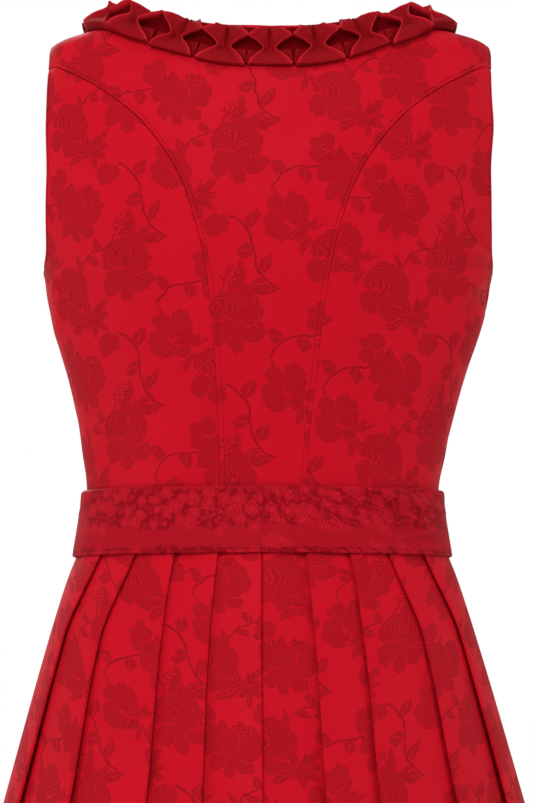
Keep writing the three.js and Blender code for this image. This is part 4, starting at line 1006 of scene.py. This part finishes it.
# ---------------------------------------------------------------- front closing
# A strip of the dress cloth over the centre front hides the hooks, and five buttons covered with
# the same cloth are sewn down its middle.
PLACKET_HALF = 11
PLACKET_CLEARANCE = 0.8
PLACKET_CLOTH = 1.2
PLACKET_STITCH = 2.5  # from each long edge
TOP_BUTTON, BUTTON_PITCH, BUTTONS = 184, 36, 5
strip_z = np.linspace(15, 194.5, 90)
strip_x = np.concatenate([-PLACKET_HALF + EDGE_STEPS[:5], np.linspace(-7, 7, 11),
                          PLACKET_HALF - EDGE_STEPS[:5][::-1]])
grid = on_face(strip_x[None] + 0 * strip_z[:, None], strip_z[:, None] + 0 * strip_x[None], -1)
off = PLACKET_HALF - np.abs(strip_x)[None] + 0 * strip_z[:, None]
rise = cloth_rise(grid[..., 0], grid[..., 2], -1)
pucker = 0.25 * np.sin(strip_z * 2 * math.pi / BUTTON_PITCH)[:, None]
outer = lifted(grid, rise + PLACKET_CLEARANCE + PLACKET_CLOTH + pucker - turned_edge(off, PLACKET_STITCH))
inner = lifted(grid, rise + PLACKET_CLEARANCE)
placket = sewn("front_placket_cloth", outer, inner, unrolled(grid, (11, 52)), dress_cloth)
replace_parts(placket, "front_placket")
for_stitch = []
for side in (-1, 1):
    line = on_face(np.full(60, side * (PLACKET_HALF - PLACKET_STITCH)), np.linspace(24, 192, 60), -1)
    rise = cloth_rise(line[:, 0], line[:, 2], -1)
    for_stitch.append(lifted(line, rise + PLACKET_CLEARANCE + PLACKET_CLOTH))
stitched("placket_stitching", for_stitch)

BUTTON_RADIUS = 6.5
BUTTON_SHANK = 1.2
# From the shank's foot to the crown: the share of the radius, and the height in millimetres.
button_profile = np.array([
    (0.0, -1.3), (0.26, -1.3), (0.24, -0.1), (0.90, 0.0), (0.99, 0.5), (1.0, 0.95), (0.985, 1.4),
    (0.93, 2.0), (0.82, 2.7), (0.65, 3.3), (0.42, 3.75), (0.2, 3.95), (0.0, 4.0)])
around = np.linspace(0, 2 * math.pi, 48, endpoint=False)
for k in range(BUTTONS):
    seat = on_face(0.0, TOP_BUTTON - BUTTON_PITCH * k, -1)
    normal = outward(seat)
    side = np.array([1.0, 0, 0])
    up = unit(np.cross(normal, side))
    base = seat + normal * (PLACKET_CLEARANCE + PLACKET_CLOTH + BUTTON_SHANK)
    ring = side[None] * np.cos(around)[:, None] + up[None] * np.sin(around)[:, None]
    gather = 1 + 0.006 * np.sin(around * 16)
    rings = [base + ring * (BUTTON_RADIUS * r) * (gather[:, None] if 0.9 < r else 1) + normal * h
             for r, h in button_profile[1:-1]]
    ends = [base[None] + normal * height for height in button_profile[[0, -1], 1]]
    points = np.vstack([ends[0]] + rings + [ends[1]])
    count, last = len(around), len(points) - 1
    faces = [(0, 1 + (i + 1) % count, 1 + i) for i in range(count)]
    for r in range(len(rings) - 1):
        a = 1 + r * count
        faces += [(a + i, a + (i + 1) % count, a + count + (i + 1) % count, a + count + i)
                  for i in range(count)]
    a = 1 + (len(rings) - 1) * count
    faces += [(a + i, a + (i + 1) % count, last) for i in range(count)]
    mesh = bpy.data.meshes.new(f"button_{k + 1}_covered")
    mesh.from_pydata(placed(points).tolist(), [], faces)
    flat_map = (points - base) @ np.stack([side, up], 1) / 1000 + [0.02 * k, 0.031]
    layer = mesh.uv_layers.new(name="cloth")
    corners = np.array([loop.vertex_index for loop in mesh.loops])
    layer.data.foreach_set("uv", flat_map[corners].reshape(-1))
    mesh.materials.append(dress_cloth)
    mesh.shade_smooth()
    button = bpy.data.objects.new(f"button_{k + 1}_covered", mesh)
    bpy.context.collection.objects.link(button)
    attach(button, "root")
    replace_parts(button, f"button_{k + 1}")

# ---------------------------------------------------------------- skirt
# Two widths of the jacquard joined at the sides and laid in 20 knife pleats, pressed at the waist,
# that all turn towards the centre back, where two folds meet. Lower down the pleats open and swing.
SKIRT_LENGTH = 668
CENTRE_SLIT = 1.0
BACK_FOLDS = table(
    "z first second third fourth", (0, 0.044, 0.0875, 0.1315, 0.178), (-28, 0.044, 0.0875, 0.1315, 0.178),
    (-92, 0.045, 0.086, 0.146, 0.1975), (-218, 0.0425, 0.08, 0.14, 0.197),
    (-SKIRT_LENGTH, 0.044, 0.086, 0.142, 0.196))
FRONT_FOLDS_FROM, FRONT_FOLDS = 0.3, 5
SIDE_FACE = 4  # the fold whose plain wide face lies over the side seam
SKIRT = table(
    "z half_width back front under layer",
    (0, 137, 94, 94, 15.5, 2.1), (-28, 143.5, 101.5, 101, 16, 2.1), (-42, 149, 108, 107, 16.5, 2.3),
    (-100, 167, 127, 124, 19, 3), (-235, 205, 169, 162, 21, 5.2), (-350, 237, 204, 194, 19, 7),
    (-500, 278, 249, 236, 14.5, 8.8), (-SKIRT_LENGTH, 323, 298, 282, 9, 10.5))
skirt_at = {name: through(SKIRT, "z", name) for name in ("half_width", "back", "front", "under", "layer")}
back_fold_at = [through(BACK_FOLDS, "z", name) for name in ("first", "second", "third", "fourth")]


def ring_place(half_width, back, front):
    """A ring's points by share of its length from the centre back over the wearer's left."""
    angle = np.linspace(0, 2 * math.pi, 961)
    depth = np.where(np.cos(angle) >= 0, back, front)
    x, y = half_width * np.sin(angle), depth * np.cos(angle)
    run = np.concatenate([[0], np.cumsum(np.hypot(np.diff(x), np.diff(y)))])

    def place(share, out, z):
        where = (share % 1.0) * run[-1]
        px, py = np.interp(where, run, x), np.interp(where, run, y)
        deep = np.where(py >= 0, back, front)
        nx, ny = px / half_width ** 2, py / deep ** 2
        size = np.hypot(nx, ny)
        return np.stack([px + out * nx / size, py + out * ny / size, np.broadcast_to(z, px.shape)], -1)

    return place, run[-1]


def skirt_ring(z):
    return ring_place(*(skirt_at[name](z) for name in ("half_width", "back", "front")))


FOLDS = len(back_fold_at) + 1 + FRONT_FOLDS  # of one half, from the centre back to the centre front
chance = np.random.default_rng(5)
fold_drift = chance.uniform(-1, 1, (2, FOLDS + 1))
fold_phase = chance.uniform(0, 2 * math.pi, (2, FOLDS + 1))
face_swell = chance.uniform(-0.4, 1, (2, FOLDS))
fold_drift[:, [0, -1]] = 0
face_steps = np.array([0, 0.02, 0.05, 0.1, 0.18, 0.28, 0.4, 0.5, 0.6, 0.7, 0.8, 0.87, 0.94, 1.0])
side_steps = np.concatenate([[0, 0.008, 0.02], np.linspace(0.05, 1, 20)])
SEAM_STEP = 12  # the step at the middle of the side's plain face


def half_path(z, hand):
    """One half's path from the centre back, as shares of the ring and depths, and the side seam's
    place in it. A face is outermost at its own fold and slopes in until it passes under the next."""
    _, total = skirt_ring(z)
    under, slit = skirt_at["under"](z) / total, CENTRE_SLIT / total
    layer = 0.45 + 0.55 * skirt_at["layer"](z)
    nose = min(0.42 * layer, 1.25)
    open_up = np.clip((-40 - z) / 420, 0, 1)
    folds = np.concatenate([[0], [at(z) for at in back_fold_at],
                            np.linspace(FRONT_FOLDS_FROM, 0.5, FRONT_FOLDS + 1)])
    drift = fold_drift[hand] * np.sin(z / 105 + fold_phase[hand]) * (0.3 + 2.6 * open_up)
    folds[1:] += drift[1:] / total
    path = [(f * under, -3.2 * layer) for f in (0, 0.35, 0.7, 1.0)]
    path += [(slit + f * (under - slit), -1.9 * layer * f - 2 * nose * (1 - f))
             for f in (1.0, 0.7, 0.4, 0.15)]
    path += [(slit, -2 * nose), (slit - 0.6 * nose / total, -nose)]
    for k in range(FOLDS):
        wide = folds[k + 1] - folds[k]
        swell = face_swell[hand, k] * (0.4 + 3.4 * open_up)
        steps = side_steps if k == SIDE_FACE else face_steps
        for i, f in enumerate(steps):
            if k == SIDE_FACE and i == SEAM_STEP:
                seam = len(path)
            lean = f ** 3 if k == SIDE_FACE else f
            crown = swell * math.sin(math.pi * f) * (1 - 0.5 * f)
            path.append((max(folds[k] + f * wide, slit), -2 * layer * lean + crown))
        if k == FOLDS - 1:
            break
        next_fold = folds[k + 1]
        path += [(next_fold + f * under, -layer * (2 + 0.9 * f)) for f in (0.5, 1.0)]
        path += [(next_fold + f * under, -1.9 * layer * f ** 0.8 - 2 * nose * (1 - f ** 0.8))
                 for f in (1.0, 0.7, 0.4, 0.15)]
        path += [(next_fold, -2 * nose), (next_fold - 0.7 * nose / total, -nose)]
    share, out = (np.array(column) for column in zip(*path))
    return share, out, seam


def swing(share, z):
    return 2.2 * np.clip((-z - 120) / 500, 0, 1) * np.sin(share * 2 * math.pi * 5 + 0.8)


def skirt_row(z, back):
    place, total = skirt_ring(z)
    gap = SEAM_GAP / 2 / total
    halves = []
    for hand in (0, 1):
        share, out, seam = half_path(z, hand)
        share, depth = (share[:seam + 1], out[:seam + 1]) if back else (share[seam:], out[seam:])
        share[-1 if back else 0] += -gap if back else gap
        halves.append((share, depth))
    (left, left_out), (right, right_out) = halves
    if back:
        share = np.concatenate([-right[::-1][:-1], left])
        out = np.concatenate([right_out[::-1][:-1], left_out])
    else:
        share = np.concatenate([left, 1 - right[::-1][1:]])
        out = np.concatenate([left_out, right_out[::-1][1:]])
    return place(share, out + swing(share, z), z)


def both_sides(line, cloth):
    step = unit(np.diff(line, axis=0))
    before, after = np.vstack([step[:1], step]), np.vstack([step, step[-1:]])
    normal = np.stack([before[:, 1], -before[:, 0], 0 * before[:, 0]], -1)
    following = np.stack([after[:, 1], -after[:, 0], 0 * after[:, 0]], -1)
    miter = unit(normal + following)
    stretch = 1 / np.maximum(0.62, (miter * normal).sum(-1, keepdims=True))
    return line + miter * stretch * cloth / 2, line - miter * stretch * cloth / 2


SHELL = 0.7  # the visible cloth is a thinner shell on the middle of the dress's own wall
for place_name, back, first_u in (("back", True, 0.0), ("front", False, 0.031)):
    heights = -SEAM_GAP / 2 - (SKIRT_LENGTH - SEAM_GAP / 2) * np.linspace(0, 1, 64) ** 1.12
    outer, inner, runs = [], [], []
    for z in heights:
        line = skirt_row(z, back)
        a, b = both_sides(line, SHELL)
        outer.append(a)
        inner.append(b)
        run = run_of(line)
        runs.append(run - run[len(run) // 2])
    outer, inner, runs = np.array(outer), np.array(inner), np.array(runs)
    slant = 1.05 * heights[:, None]
    flat = np.stack([runs + 1000 * first_u, np.broadcast_to(slant, runs.shape)], -1) / 1000
    skirt = sewn(f"skirt_{place_name}_cloth", outer, inner, flat, dress_cloth)
    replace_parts(skirt, f"skirt_{place_name}")

# The allowances of the two side seams, flat against the inside of the plain faces.
heights = -1.0 - (SKIRT_LENGTH - 2.0) * np.linspace(0, 1, 64) ** 1.12
reach = np.linspace(-5, 5, 5)
for hand, name in enumerate(("left", "right")):
    rows = [[], []]
    for z in heights:
        place, total = skirt_ring(z)
        share, out, seam = half_path(z, hand)
        at = (1 - share[seam] if hand else share[seam]) + reach / total
        for row, depth in zip(rows, (0.75, 1.3)):
            row.append(place(at, out[seam] + swing(at, z) - depth, z))
    flat = np.stack([reach[None] + 0 * heights[:, None], heights[:, None] + 0 * reach[None]], -1) / 1000
    strip = sewn(f"skirt_seam_allowance_{name}", np.array(rows[0]), np.array(rows[1]), flat, dress_cloth)

# ---------------------------------------------------------------- apron band
# The apron's band is a doubled strip of satin that wraps the waist over the join of bodice and
# skirt. It is topstitched along its lower edge and pulls into a few soft folds beside the spine.
BAND_TOP, BAND_BOTTOM, BAND_CLOTH = 22.5, -28.0, 2.0
BAND = table("z half_width back front", (22.5, 137.6, 92.2, 94.8), (6, 139, 95, 96.6),
             (-10, 141.4, 98.4, 98.6), (-28, 144.6, 102.6, 102.4))
band_at = {name: through(BAND, "z", name) for name in ("half_width", "back", "front")}
BAND_STITCH = 3.0  # above the lower edge
DEEPEST_FOLD = -1.75  # the band's cloth gives in no more than this
DAISY_ROWS = 0.0444  # m, from one row of daisies to the next
BAND_CREASES = table(
    "x1 z1 x2 z2 width rise",
    (-70, 15, -113, 3, 2.2, -2.4), (-98, -11, -130, -4.5, 2.3, -2.4), (-108, 21, -124, 19, 1.8, -1.4),
    (-74, 8.5, -120, -3, 2.6, 3.0), (-84, 20, -130, 8, 2.8, 2.8), (-98, -16.5, -130, -10.5, 2.8, 2.4),
    (128, 14, 104, 2, 4.0, -1.4), (118, -2, 98, -14, 4.0, -1.2), (112, 14, 92, 8, 4, 1.0),
    (122, 4, 96, -6, 4, 1.0), (40, 8, 12, 6, 7, -0.5))


PLAIN = 0.43  # how light the plain strip is between the dark and the bright of the rows


def daisy_satin(name, ground, bright, cluster_mm=11.5):
    """Apron satin: a dense, silky ground with daisies and sprigs woven a little lighter, which lie
    in thick rows with a plain strip between two of them."""
    material = new_material(name)
    tree = material.node_tree
    cloth = add(tree, "ShaderNodeUVMap", uv_map="cloth").outputs[0]
    scale = 1000 / cluster_mm
    cells = add(tree, "ShaderNodeTexVoronoi", {"Vector": cloth, "Scale": scale, "Randomness": 0.8},
                voronoi_dimensions="2D")
    away = add(tree, "ShaderNodeVectorMath", [cloth, cells.outputs["Position"]], operation="SUBTRACT")
    part = add(tree, "ShaderNodeSeparateXYZ", [away.outputs[0]])
    luck = add(tree, "ShaderNodeSeparateColor", [cells.outputs["Color"]])
    place = add(tree, "ShaderNodeSeparateXYZ", [cloth])
    middle = add(tree, "ShaderNodeSeparateXYZ", [cells.outputs["Position"]])
    drift = add(tree, "ShaderNodeTexNoise", {"Vector": cloth, "Scale": 38.0, "Detail": 1.0})
    curl = add(tree, "ShaderNodeTexNoise", {"Vector": cloth, "Scale": 120.0, "Detail": 1.0})
    sprigs = add(tree, "ShaderNodeTexVoronoi", {"Vector": cloth, "Scale": scale * 2.6},
                 voronoi_dimensions="2D")
    grain = add(tree, "ShaderNodeTexNoise", {"Vector": cloth, "Scale": 800.0, "Detail": 2.0})
    known = dict(x=part.outputs["X"], y=part.outputs["Y"], luck=luck.outputs[0], spin=luck.outputs[1],
                 u=place.outputs["X"], v=place.outputs["Y"], centre=middle.outputs["Y"],
                 drift=drift.outputs["Fac"], curl=curl.outputs["Fac"],
                 sprig=sprigs.outputs["Distance"], grain=grain.outputs["Fac"])
    work_out(tree, known, [
            ("x2", "MULTIPLY", "x", "x"), ("r2", "MULTIPLY_ADD", "y", "y", "x2"), ("r1", "SQRT", "r2"),
            ("r", "MULTIPLY", "r1", 1000 / (0.5 * cluster_mm)), ("a0", "ARCTAN2", "y", "x"),
            ("a", "MULTIPLY_ADD", "spin", 6.0, "a0"), ("size", "MULTIPLY_ADD", "luck", 0.5, 0.5),
            ("a15", "MULTIPLY", "a", 15.0), ("w", "SINE", "a15"),
            ("rim", "MULTIPLY_ADD", "w", 0.13, "size"), ("in", "SUBTRACT", "rim", "r"),
            ("cover", "CLAMPED MULTIPLY_ADD", "in", 9.0, 0.3),
            ("ray0", "MULTIPLY_ADD", "w", 0.50, 0.50),
            ("heart", "CLAMPED MULTIPLY_ADD", "r", -9.0, 2.2), ("ray", "MAXIMUM", "ray0", "heart"),
            ("flower", "MULTIPLY", "cover", "ray"), ("lean0", "MULTIPLY_ADD", "curl", 0.02, "v"),
            ("lean", "MULTIPLY_ADD", "u", 1.1, "lean0"), ("s0", "MULTIPLY", "lean", 2700.0),
            ("s1", "SINE", "s0"), ("stroke", "CLAMPED MULTIPLY_ADD", "s1", 0.9, 0.45),
            ("blob", "CLAMPED MULTIPLY_ADD", "sprig", -3.0, 1.7),
            ("leafy0", "MULTIPLY", "stroke", "blob"),
            ("k0", "MULTIPLY_ADD", "centre", 2 * math.pi / DAISY_ROWS, -0.92), ("k1", "COSINE", "k0"),
            ("k2", "MULTIPLY_ADD", "luck", 0.9, "k1"),
            ("whole", "CLAMPED MULTIPLY_ADD", "k2", 40.0, 4.0),
            ("daisy", "MULTIPLY", "flower", "whole"),
            ("row0", "MULTIPLY_ADD", "v", 2 * math.pi / DAISY_ROWS, -0.92), ("row1", "COSINE", "row0"),
            ("row2", "MULTIPLY_ADD", "drift", 1.5, "row1"),
            ("thick", "CLAMPED MULTIPLY_ADD", "row2", 5.0, -0.9),
            ("g0", "MULTIPLY_ADD", "leafy0", 0.8, -PLAIN), ("g1", "MULTIPLY_ADD", "g0", "thick", PLAIN),
            ("tone", "MAXIMUM", "daisy", "g1"), ("thread0", "MULTIPLY", "v", 5200.0),
            ("thread", "SINE", "thread0"), ("l1", "MULTIPLY_ADD", "grain", 0.20, 0.88),
            ("light", "MULTIPLY_ADD", "thread", 0.02, "l1"),
            ("gloss", "MULTIPLY_ADD", "tone", 0.14, 0.46),
            ("relief", "MULTIPLY_ADD", "thread", 0.06, "tone")])
    woven_surface(tree, known, ground, bright, (0.3, 0.00015), (0.06, "#FF7A84", 0.03))
    return material


def band_ring(z):
    return ring_place(*(at(z) for at in band_at.values()))


def band_rise(seat, z):
    """The band's folds behind and, shallower and turned about, in front, on points of its ring."""
    x, behind = seat[:, 0], seat[:, 1] >= 0
    z = np.full_like(x, z)
    rise = np.where(behind, creased(x, z, BAND_CREASES), 0.6 * creased(-x, z, BAND_CREASES))
    return rise + rumple(x + 300 * ~behind, z, 14, size=34, rise=0.25)


apron_cloth = daisy_satin("daisy_satin", "#900B18", "#CC1A2A")
BAND_STEPS = 420
band_z = np.concatenate([[22.5, 22.2, 21.6, 20.6, 19.2], np.linspace(17, -22, 22),
                         [-23.6, -24.6, -25.4, -26.4, -27.2, -27.8, -28.0]])
shares = np.linspace(0, 1, BAND_STEPS, endpoint=False)
outer, inner, flat = [], [], []
for z in band_z:
    place, total = band_ring(z)
    rise = band_rise(place(shares, 0 * shares, z), z)
    edge = min(BAND_TOP - z, z - BAND_BOTTOM)
    furrow = 0.3 * math.exp(-((z - BAND_BOTTOM - BAND_STITCH) / 0.7) ** 2)
    thick = BAND_CLOTH * (1 - 0.55 * math.exp(-(edge / 0.8) ** 2)) - furrow
    outer.append(place(shares, thick + np.maximum(rise, DEEPEST_FOLD), z))
    inner.append(place(shares, np.minimum(rise, 0) * 0.1, z))
    around_m = np.append(shares, 1.0) * total / 1000
    flat.append(np.stack([around_m, np.full(BAND_STEPS + 1, z / 1000)], -1))
band = sewn("apron_band_satin", np.array(outer), np.array(inner), np.array(flat), apron_cloth, ring=True)
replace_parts(band, "apron_band")
z = BAND_BOTTOM + BAND_STITCH
place, _ = band_ring(z)
ring_share = np.linspace(0, 1, 500)
rise = band_rise(place(ring_share, 0 * ring_share, z), z)
line = place(ring_share, BAND_CLOTH - 0.25 + np.maximum(rise, DEEPEST_FOLD), z)
stitched("band_stitching", [line], pitch=2.6, length=0.9)

# ---------------------------------------------------------------- apron
# The apron's satin is gathered into the band over the front of the skirt and falls in soft,
# uneven folds to its hem. It stops short of the side seams.
APRON_GATHERS = 19
APRON_TOP, APRON_HEM = -28.4, -628
APRON = table(
    "z half_span clear gather",
    (APRON_TOP, 0.172, 2.6, 1.6), (-60, 0.172, 4.2, 2.4), (-140, 0.17, 6.5, 3.4), (-260, 0.166, 9, 4.8),
    (-430, 0.162, 11.5, 6.2), (APRON_HEM, 0.158, 14, 7.6))
apron_at = {name: through(APRON, "z", name) for name in ("half_span", "clear", "gather")}
GATHER_RHYTHM = np.array([1, 0.8, 1.15, 0.9, 1.05, 0.75, 1.2])
columns = np.linspace(0, APRON_GATHERS, APRON_GATHERS * 16 + 1)
rhythm = GATHER_RHYTHM[np.minimum(np.floor(columns), APRON_GATHERS - 1).astype(int) % len(GATHER_RHYTHM)]
apron_z = APRON_TOP + (APRON_HEM - APRON_TOP) * np.linspace(0, 1, 70) ** 1.15
outer, inner, runs = [], [], []
for z in apron_z:
    place, total = skirt_ring(z)
    drop = np.clip((APRON_TOP - z) / 600, 0, 1)
    sway = 0.16 * np.sin(z / 130 + columns * 0.9) * drop ** 0.5
    phase = columns + sway * np.sin(math.pi * columns / APRON_GATHERS)
    wave = (rhythm * 0.5 * (1 - np.cos(2 * math.pi * phase))) ** (1.0 - 0.2 * drop)
    small = 0.35 * (1 - drop) ** 6 * np.sin(columns * 2 * math.pi * 2.3 + 1)
    share = 0.5 + apron_at["half_span"](z) * (2 * columns / APRON_GATHERS - 1)
    out = apron_at["clear"](z) + 2 * apron_at["gather"](z) * wave + small
    line = place(share, out, z)
    outer.append(place(share, out + SHELL, z))
    inner.append(line)
    run = run_of(line)
    runs.append(run - run[-1] / 2)
runs = np.array(runs)
flat = np.stack([runs, np.broadcast_to(apron_z[:, None] * 1.04, runs.shape)], -1) / 1000
apron = sewn("apron_front_satin", np.array(outer), np.array(inner), flat, apron_cloth)
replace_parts(apron, "apron_front")

# ---------------------------------------------------------------- bow
# The band's ends are tied at the wearer's left front: a flat knot, two loops that spread from it
# and two ends cut on a slant that hang over the apron. All are doubled satin, creased at the knot.
BOW_SHARE = 0.436
BOW_HEIGHT = -4
KNOT = dict(half_width=13, half_height=19, depth=15)
LOOP = dict(length=84, half_width=21, pinched=11, drop=9)
TAIL = dict(length=360, half_width=25, pinched=10, clear=12, hang=21)


rings_made = {}


def ring_cache(size):
    if size not in rings_made:
        rings_made[size] = ring_place(*size)
    return rings_made[size]


def bow_points(along, out, up):
    """Points near the bow: along the band from the knot, out from the band, above the knot."""
    along, out, up = (np.asarray(v, float) for v in np.broadcast_arrays(along, out, up))
    result = np.empty(along.shape + (3,))
    for i in np.ndindex(along.shape):
        z = BOW_HEIGHT + up[i]
        flare = 0.75 * max(0, BAND_BOTTOM + 8 - z)
        on_band = min(max(z, BAND_BOTTOM), BAND_TOP)
        size = [at(on_band) + BAND_CLOTH + flare for at in band_at.values()]
        place, total = ring_cache(tuple(np.round(size, 1)))
        result[i] = place(np.array([BOW_SHARE + along[i] / total]), np.array([out[i]]), z)[0]
    return result


LOOP_PATH = table(
    "along out width", (0, 3.4, 0), (0.25, 2.2, 0.5), (0.55, 3.2, 0.9), (0.86, 5, 1), (0.97, 8.5, 1),
    (1, 13, 1), (0.95, 18, 1), (0.8, 20.5, 1), (0.52, 18.5, 0.88), (0.25, 14, 0.5), (0, 11, 0))


def ribbon_loop(name, side, seed):
    points = np.stack([LOOP_PATH["along"] * LOOP["length"], LOOP_PATH["out"], LOOP_PATH["width"]], -1)
    line = smooth_line(points, per=8)
    along, out, width = line.T
    along = np.maximum(along, 0)
    share = along / LOOP["length"]
    step = unit(np.gradient(np.stack([along, out], -1), axis=0))
    edge = np.linspace(-1, 1, 19)[:, None]
    half = LOOP["pinched"] + (LOOP["half_width"] - LOOP["pinched"]) * width
    folds = np.random.default_rng(seed).uniform(0, 6, 3)
    crease = 1.5 * np.exp(-share * 3.2) * (np.cos(edge * 7 + folds[0]) + 0.6 * np.cos(edge * 13 + folds[1]))
    dip = 1.5 * (1 - edge ** 2) * width + 0.45 * np.sin(share * 9 + edge * 2 + folds[2])
    away = 0.9 * KNOT["half_width"] + SEAM_GAP + along
    grids = []
    for offset in (0.45, -0.45):
        grids.append(bow_points(side * (away + offset * step[:, 1]), out + dip + crease - offset * step[:, 0],
                                -LOOP["drop"] * share ** 2 + edge * half))
    run = np.concatenate([[0], np.cumsum(np.hypot(np.diff(along), np.diff(out)))])
    flat = np.stack([run[None] + 0 * edge, edge * half], -1) / 1000
    piece = sewn(name, grids[0], grids[1], flat, apron_cloth)
    return piece


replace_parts(ribbon_loop("bow_loop_outer_satin", -1, 3), "bow_loop_outer")
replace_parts(ribbon_loop("bow_loop_inner_satin", 1, 4), "bow_loop_inner")

rounds = np.linspace(0, 2 * math.pi, 49)[:-1]
tall = np.sin(np.linspace(-math.pi / 2, math.pi / 2, 25))
rows = []
for v in tall:
    taper = 0.30 + 0.70 * (1 - abs(v) ** 6) ** 0.5
    waist = 0.8 + 0.2 * v * v
    pleat = 1 + 0.035 * np.sin(rounds * 5 + 1.2 * v) * (1 - v * v)
    across = np.cos(rounds) * KNOT["half_width"] * waist * taper * pleat
    out = KNOT["depth"] / 2 * (1 + np.sin(rounds) * taper * pleat) + SEAM_GAP
    rows.append(bow_points(across, out, v * KNOT["half_height"]))
rows = np.array(rows)
middle = rows.mean(axis=1, keepdims=True)
flat = np.stack([rounds[None] * 12 + 0 * tall[:, None], tall[:, None] * 19 + 0 * rounds[None]], -1) / 1000
flat = np.concatenate([flat, flat[:, :1] + [0.075, 0]], axis=1)
hollow = middle + (rows - middle) * 0.9
knot = sewn("bow_knot_satin", rows, hollow, flat, apron_cloth, ring=True)
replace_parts(knot, "bow_knot")


def tie_end(name, side, seed):
    t = np.linspace(0, 1, 56)[:, None]
    edge = np.linspace(-1, 1, 21)[None]
    fold = np.random.default_rng(seed).uniform(0, 6, 2)
    z = BOW_HEIGHT - KNOT["half_height"] - SEAM_GAP - 0.8 - t * TAIL["length"]
    spread = side * (8 + 30 * t)
    width = TAIL["pinched"] + (TAIL["half_width"] - TAIL["pinched"]) * np.minimum(1, t * 4.5)
    clear = TAIL["clear"] + TAIL["hang"] * np.minimum(1, t * 1.6) + (3.4 if side > 0 else 0)
    ripple = 1.6 * np.cos(edge * 4 + t * 5) * np.minimum(1, t * 5)
    ripple = ripple + 1.3 * np.exp(-t * 7) * np.cos(edge * 9 + fold[0]) + 0.8 * np.sin(t * 11 + fold[1])
    grids = []
    for offset in (SHELL, 0):
        rows = []
        for r in range(len(t)):
            place, total = skirt_ring(min(float(z[r, 0]), BAND_BOTTOM))
            share = BOW_SHARE + (spread[r, 0] + edge[0] * width[r, 0]) / total
            slanted = z[r, 0] + side * 9 * edge[0] * t[r, 0]
            rows.append(place(share, clear[r, 0] + ripple[r] + offset, slanted))
        grids.append(np.array(rows))
    flat = np.stack([edge * width, z + 0 * edge], -1) / 1000
    piece = sewn(name, grids[0], grids[1], flat, apron_cloth)
    return piece


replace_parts(tie_end("tie_end_outer_satin", -1, 8), "tie_end_outer")
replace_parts(tie_end("tie_end_inner_satin", 1, 9), "tie_end_inner")
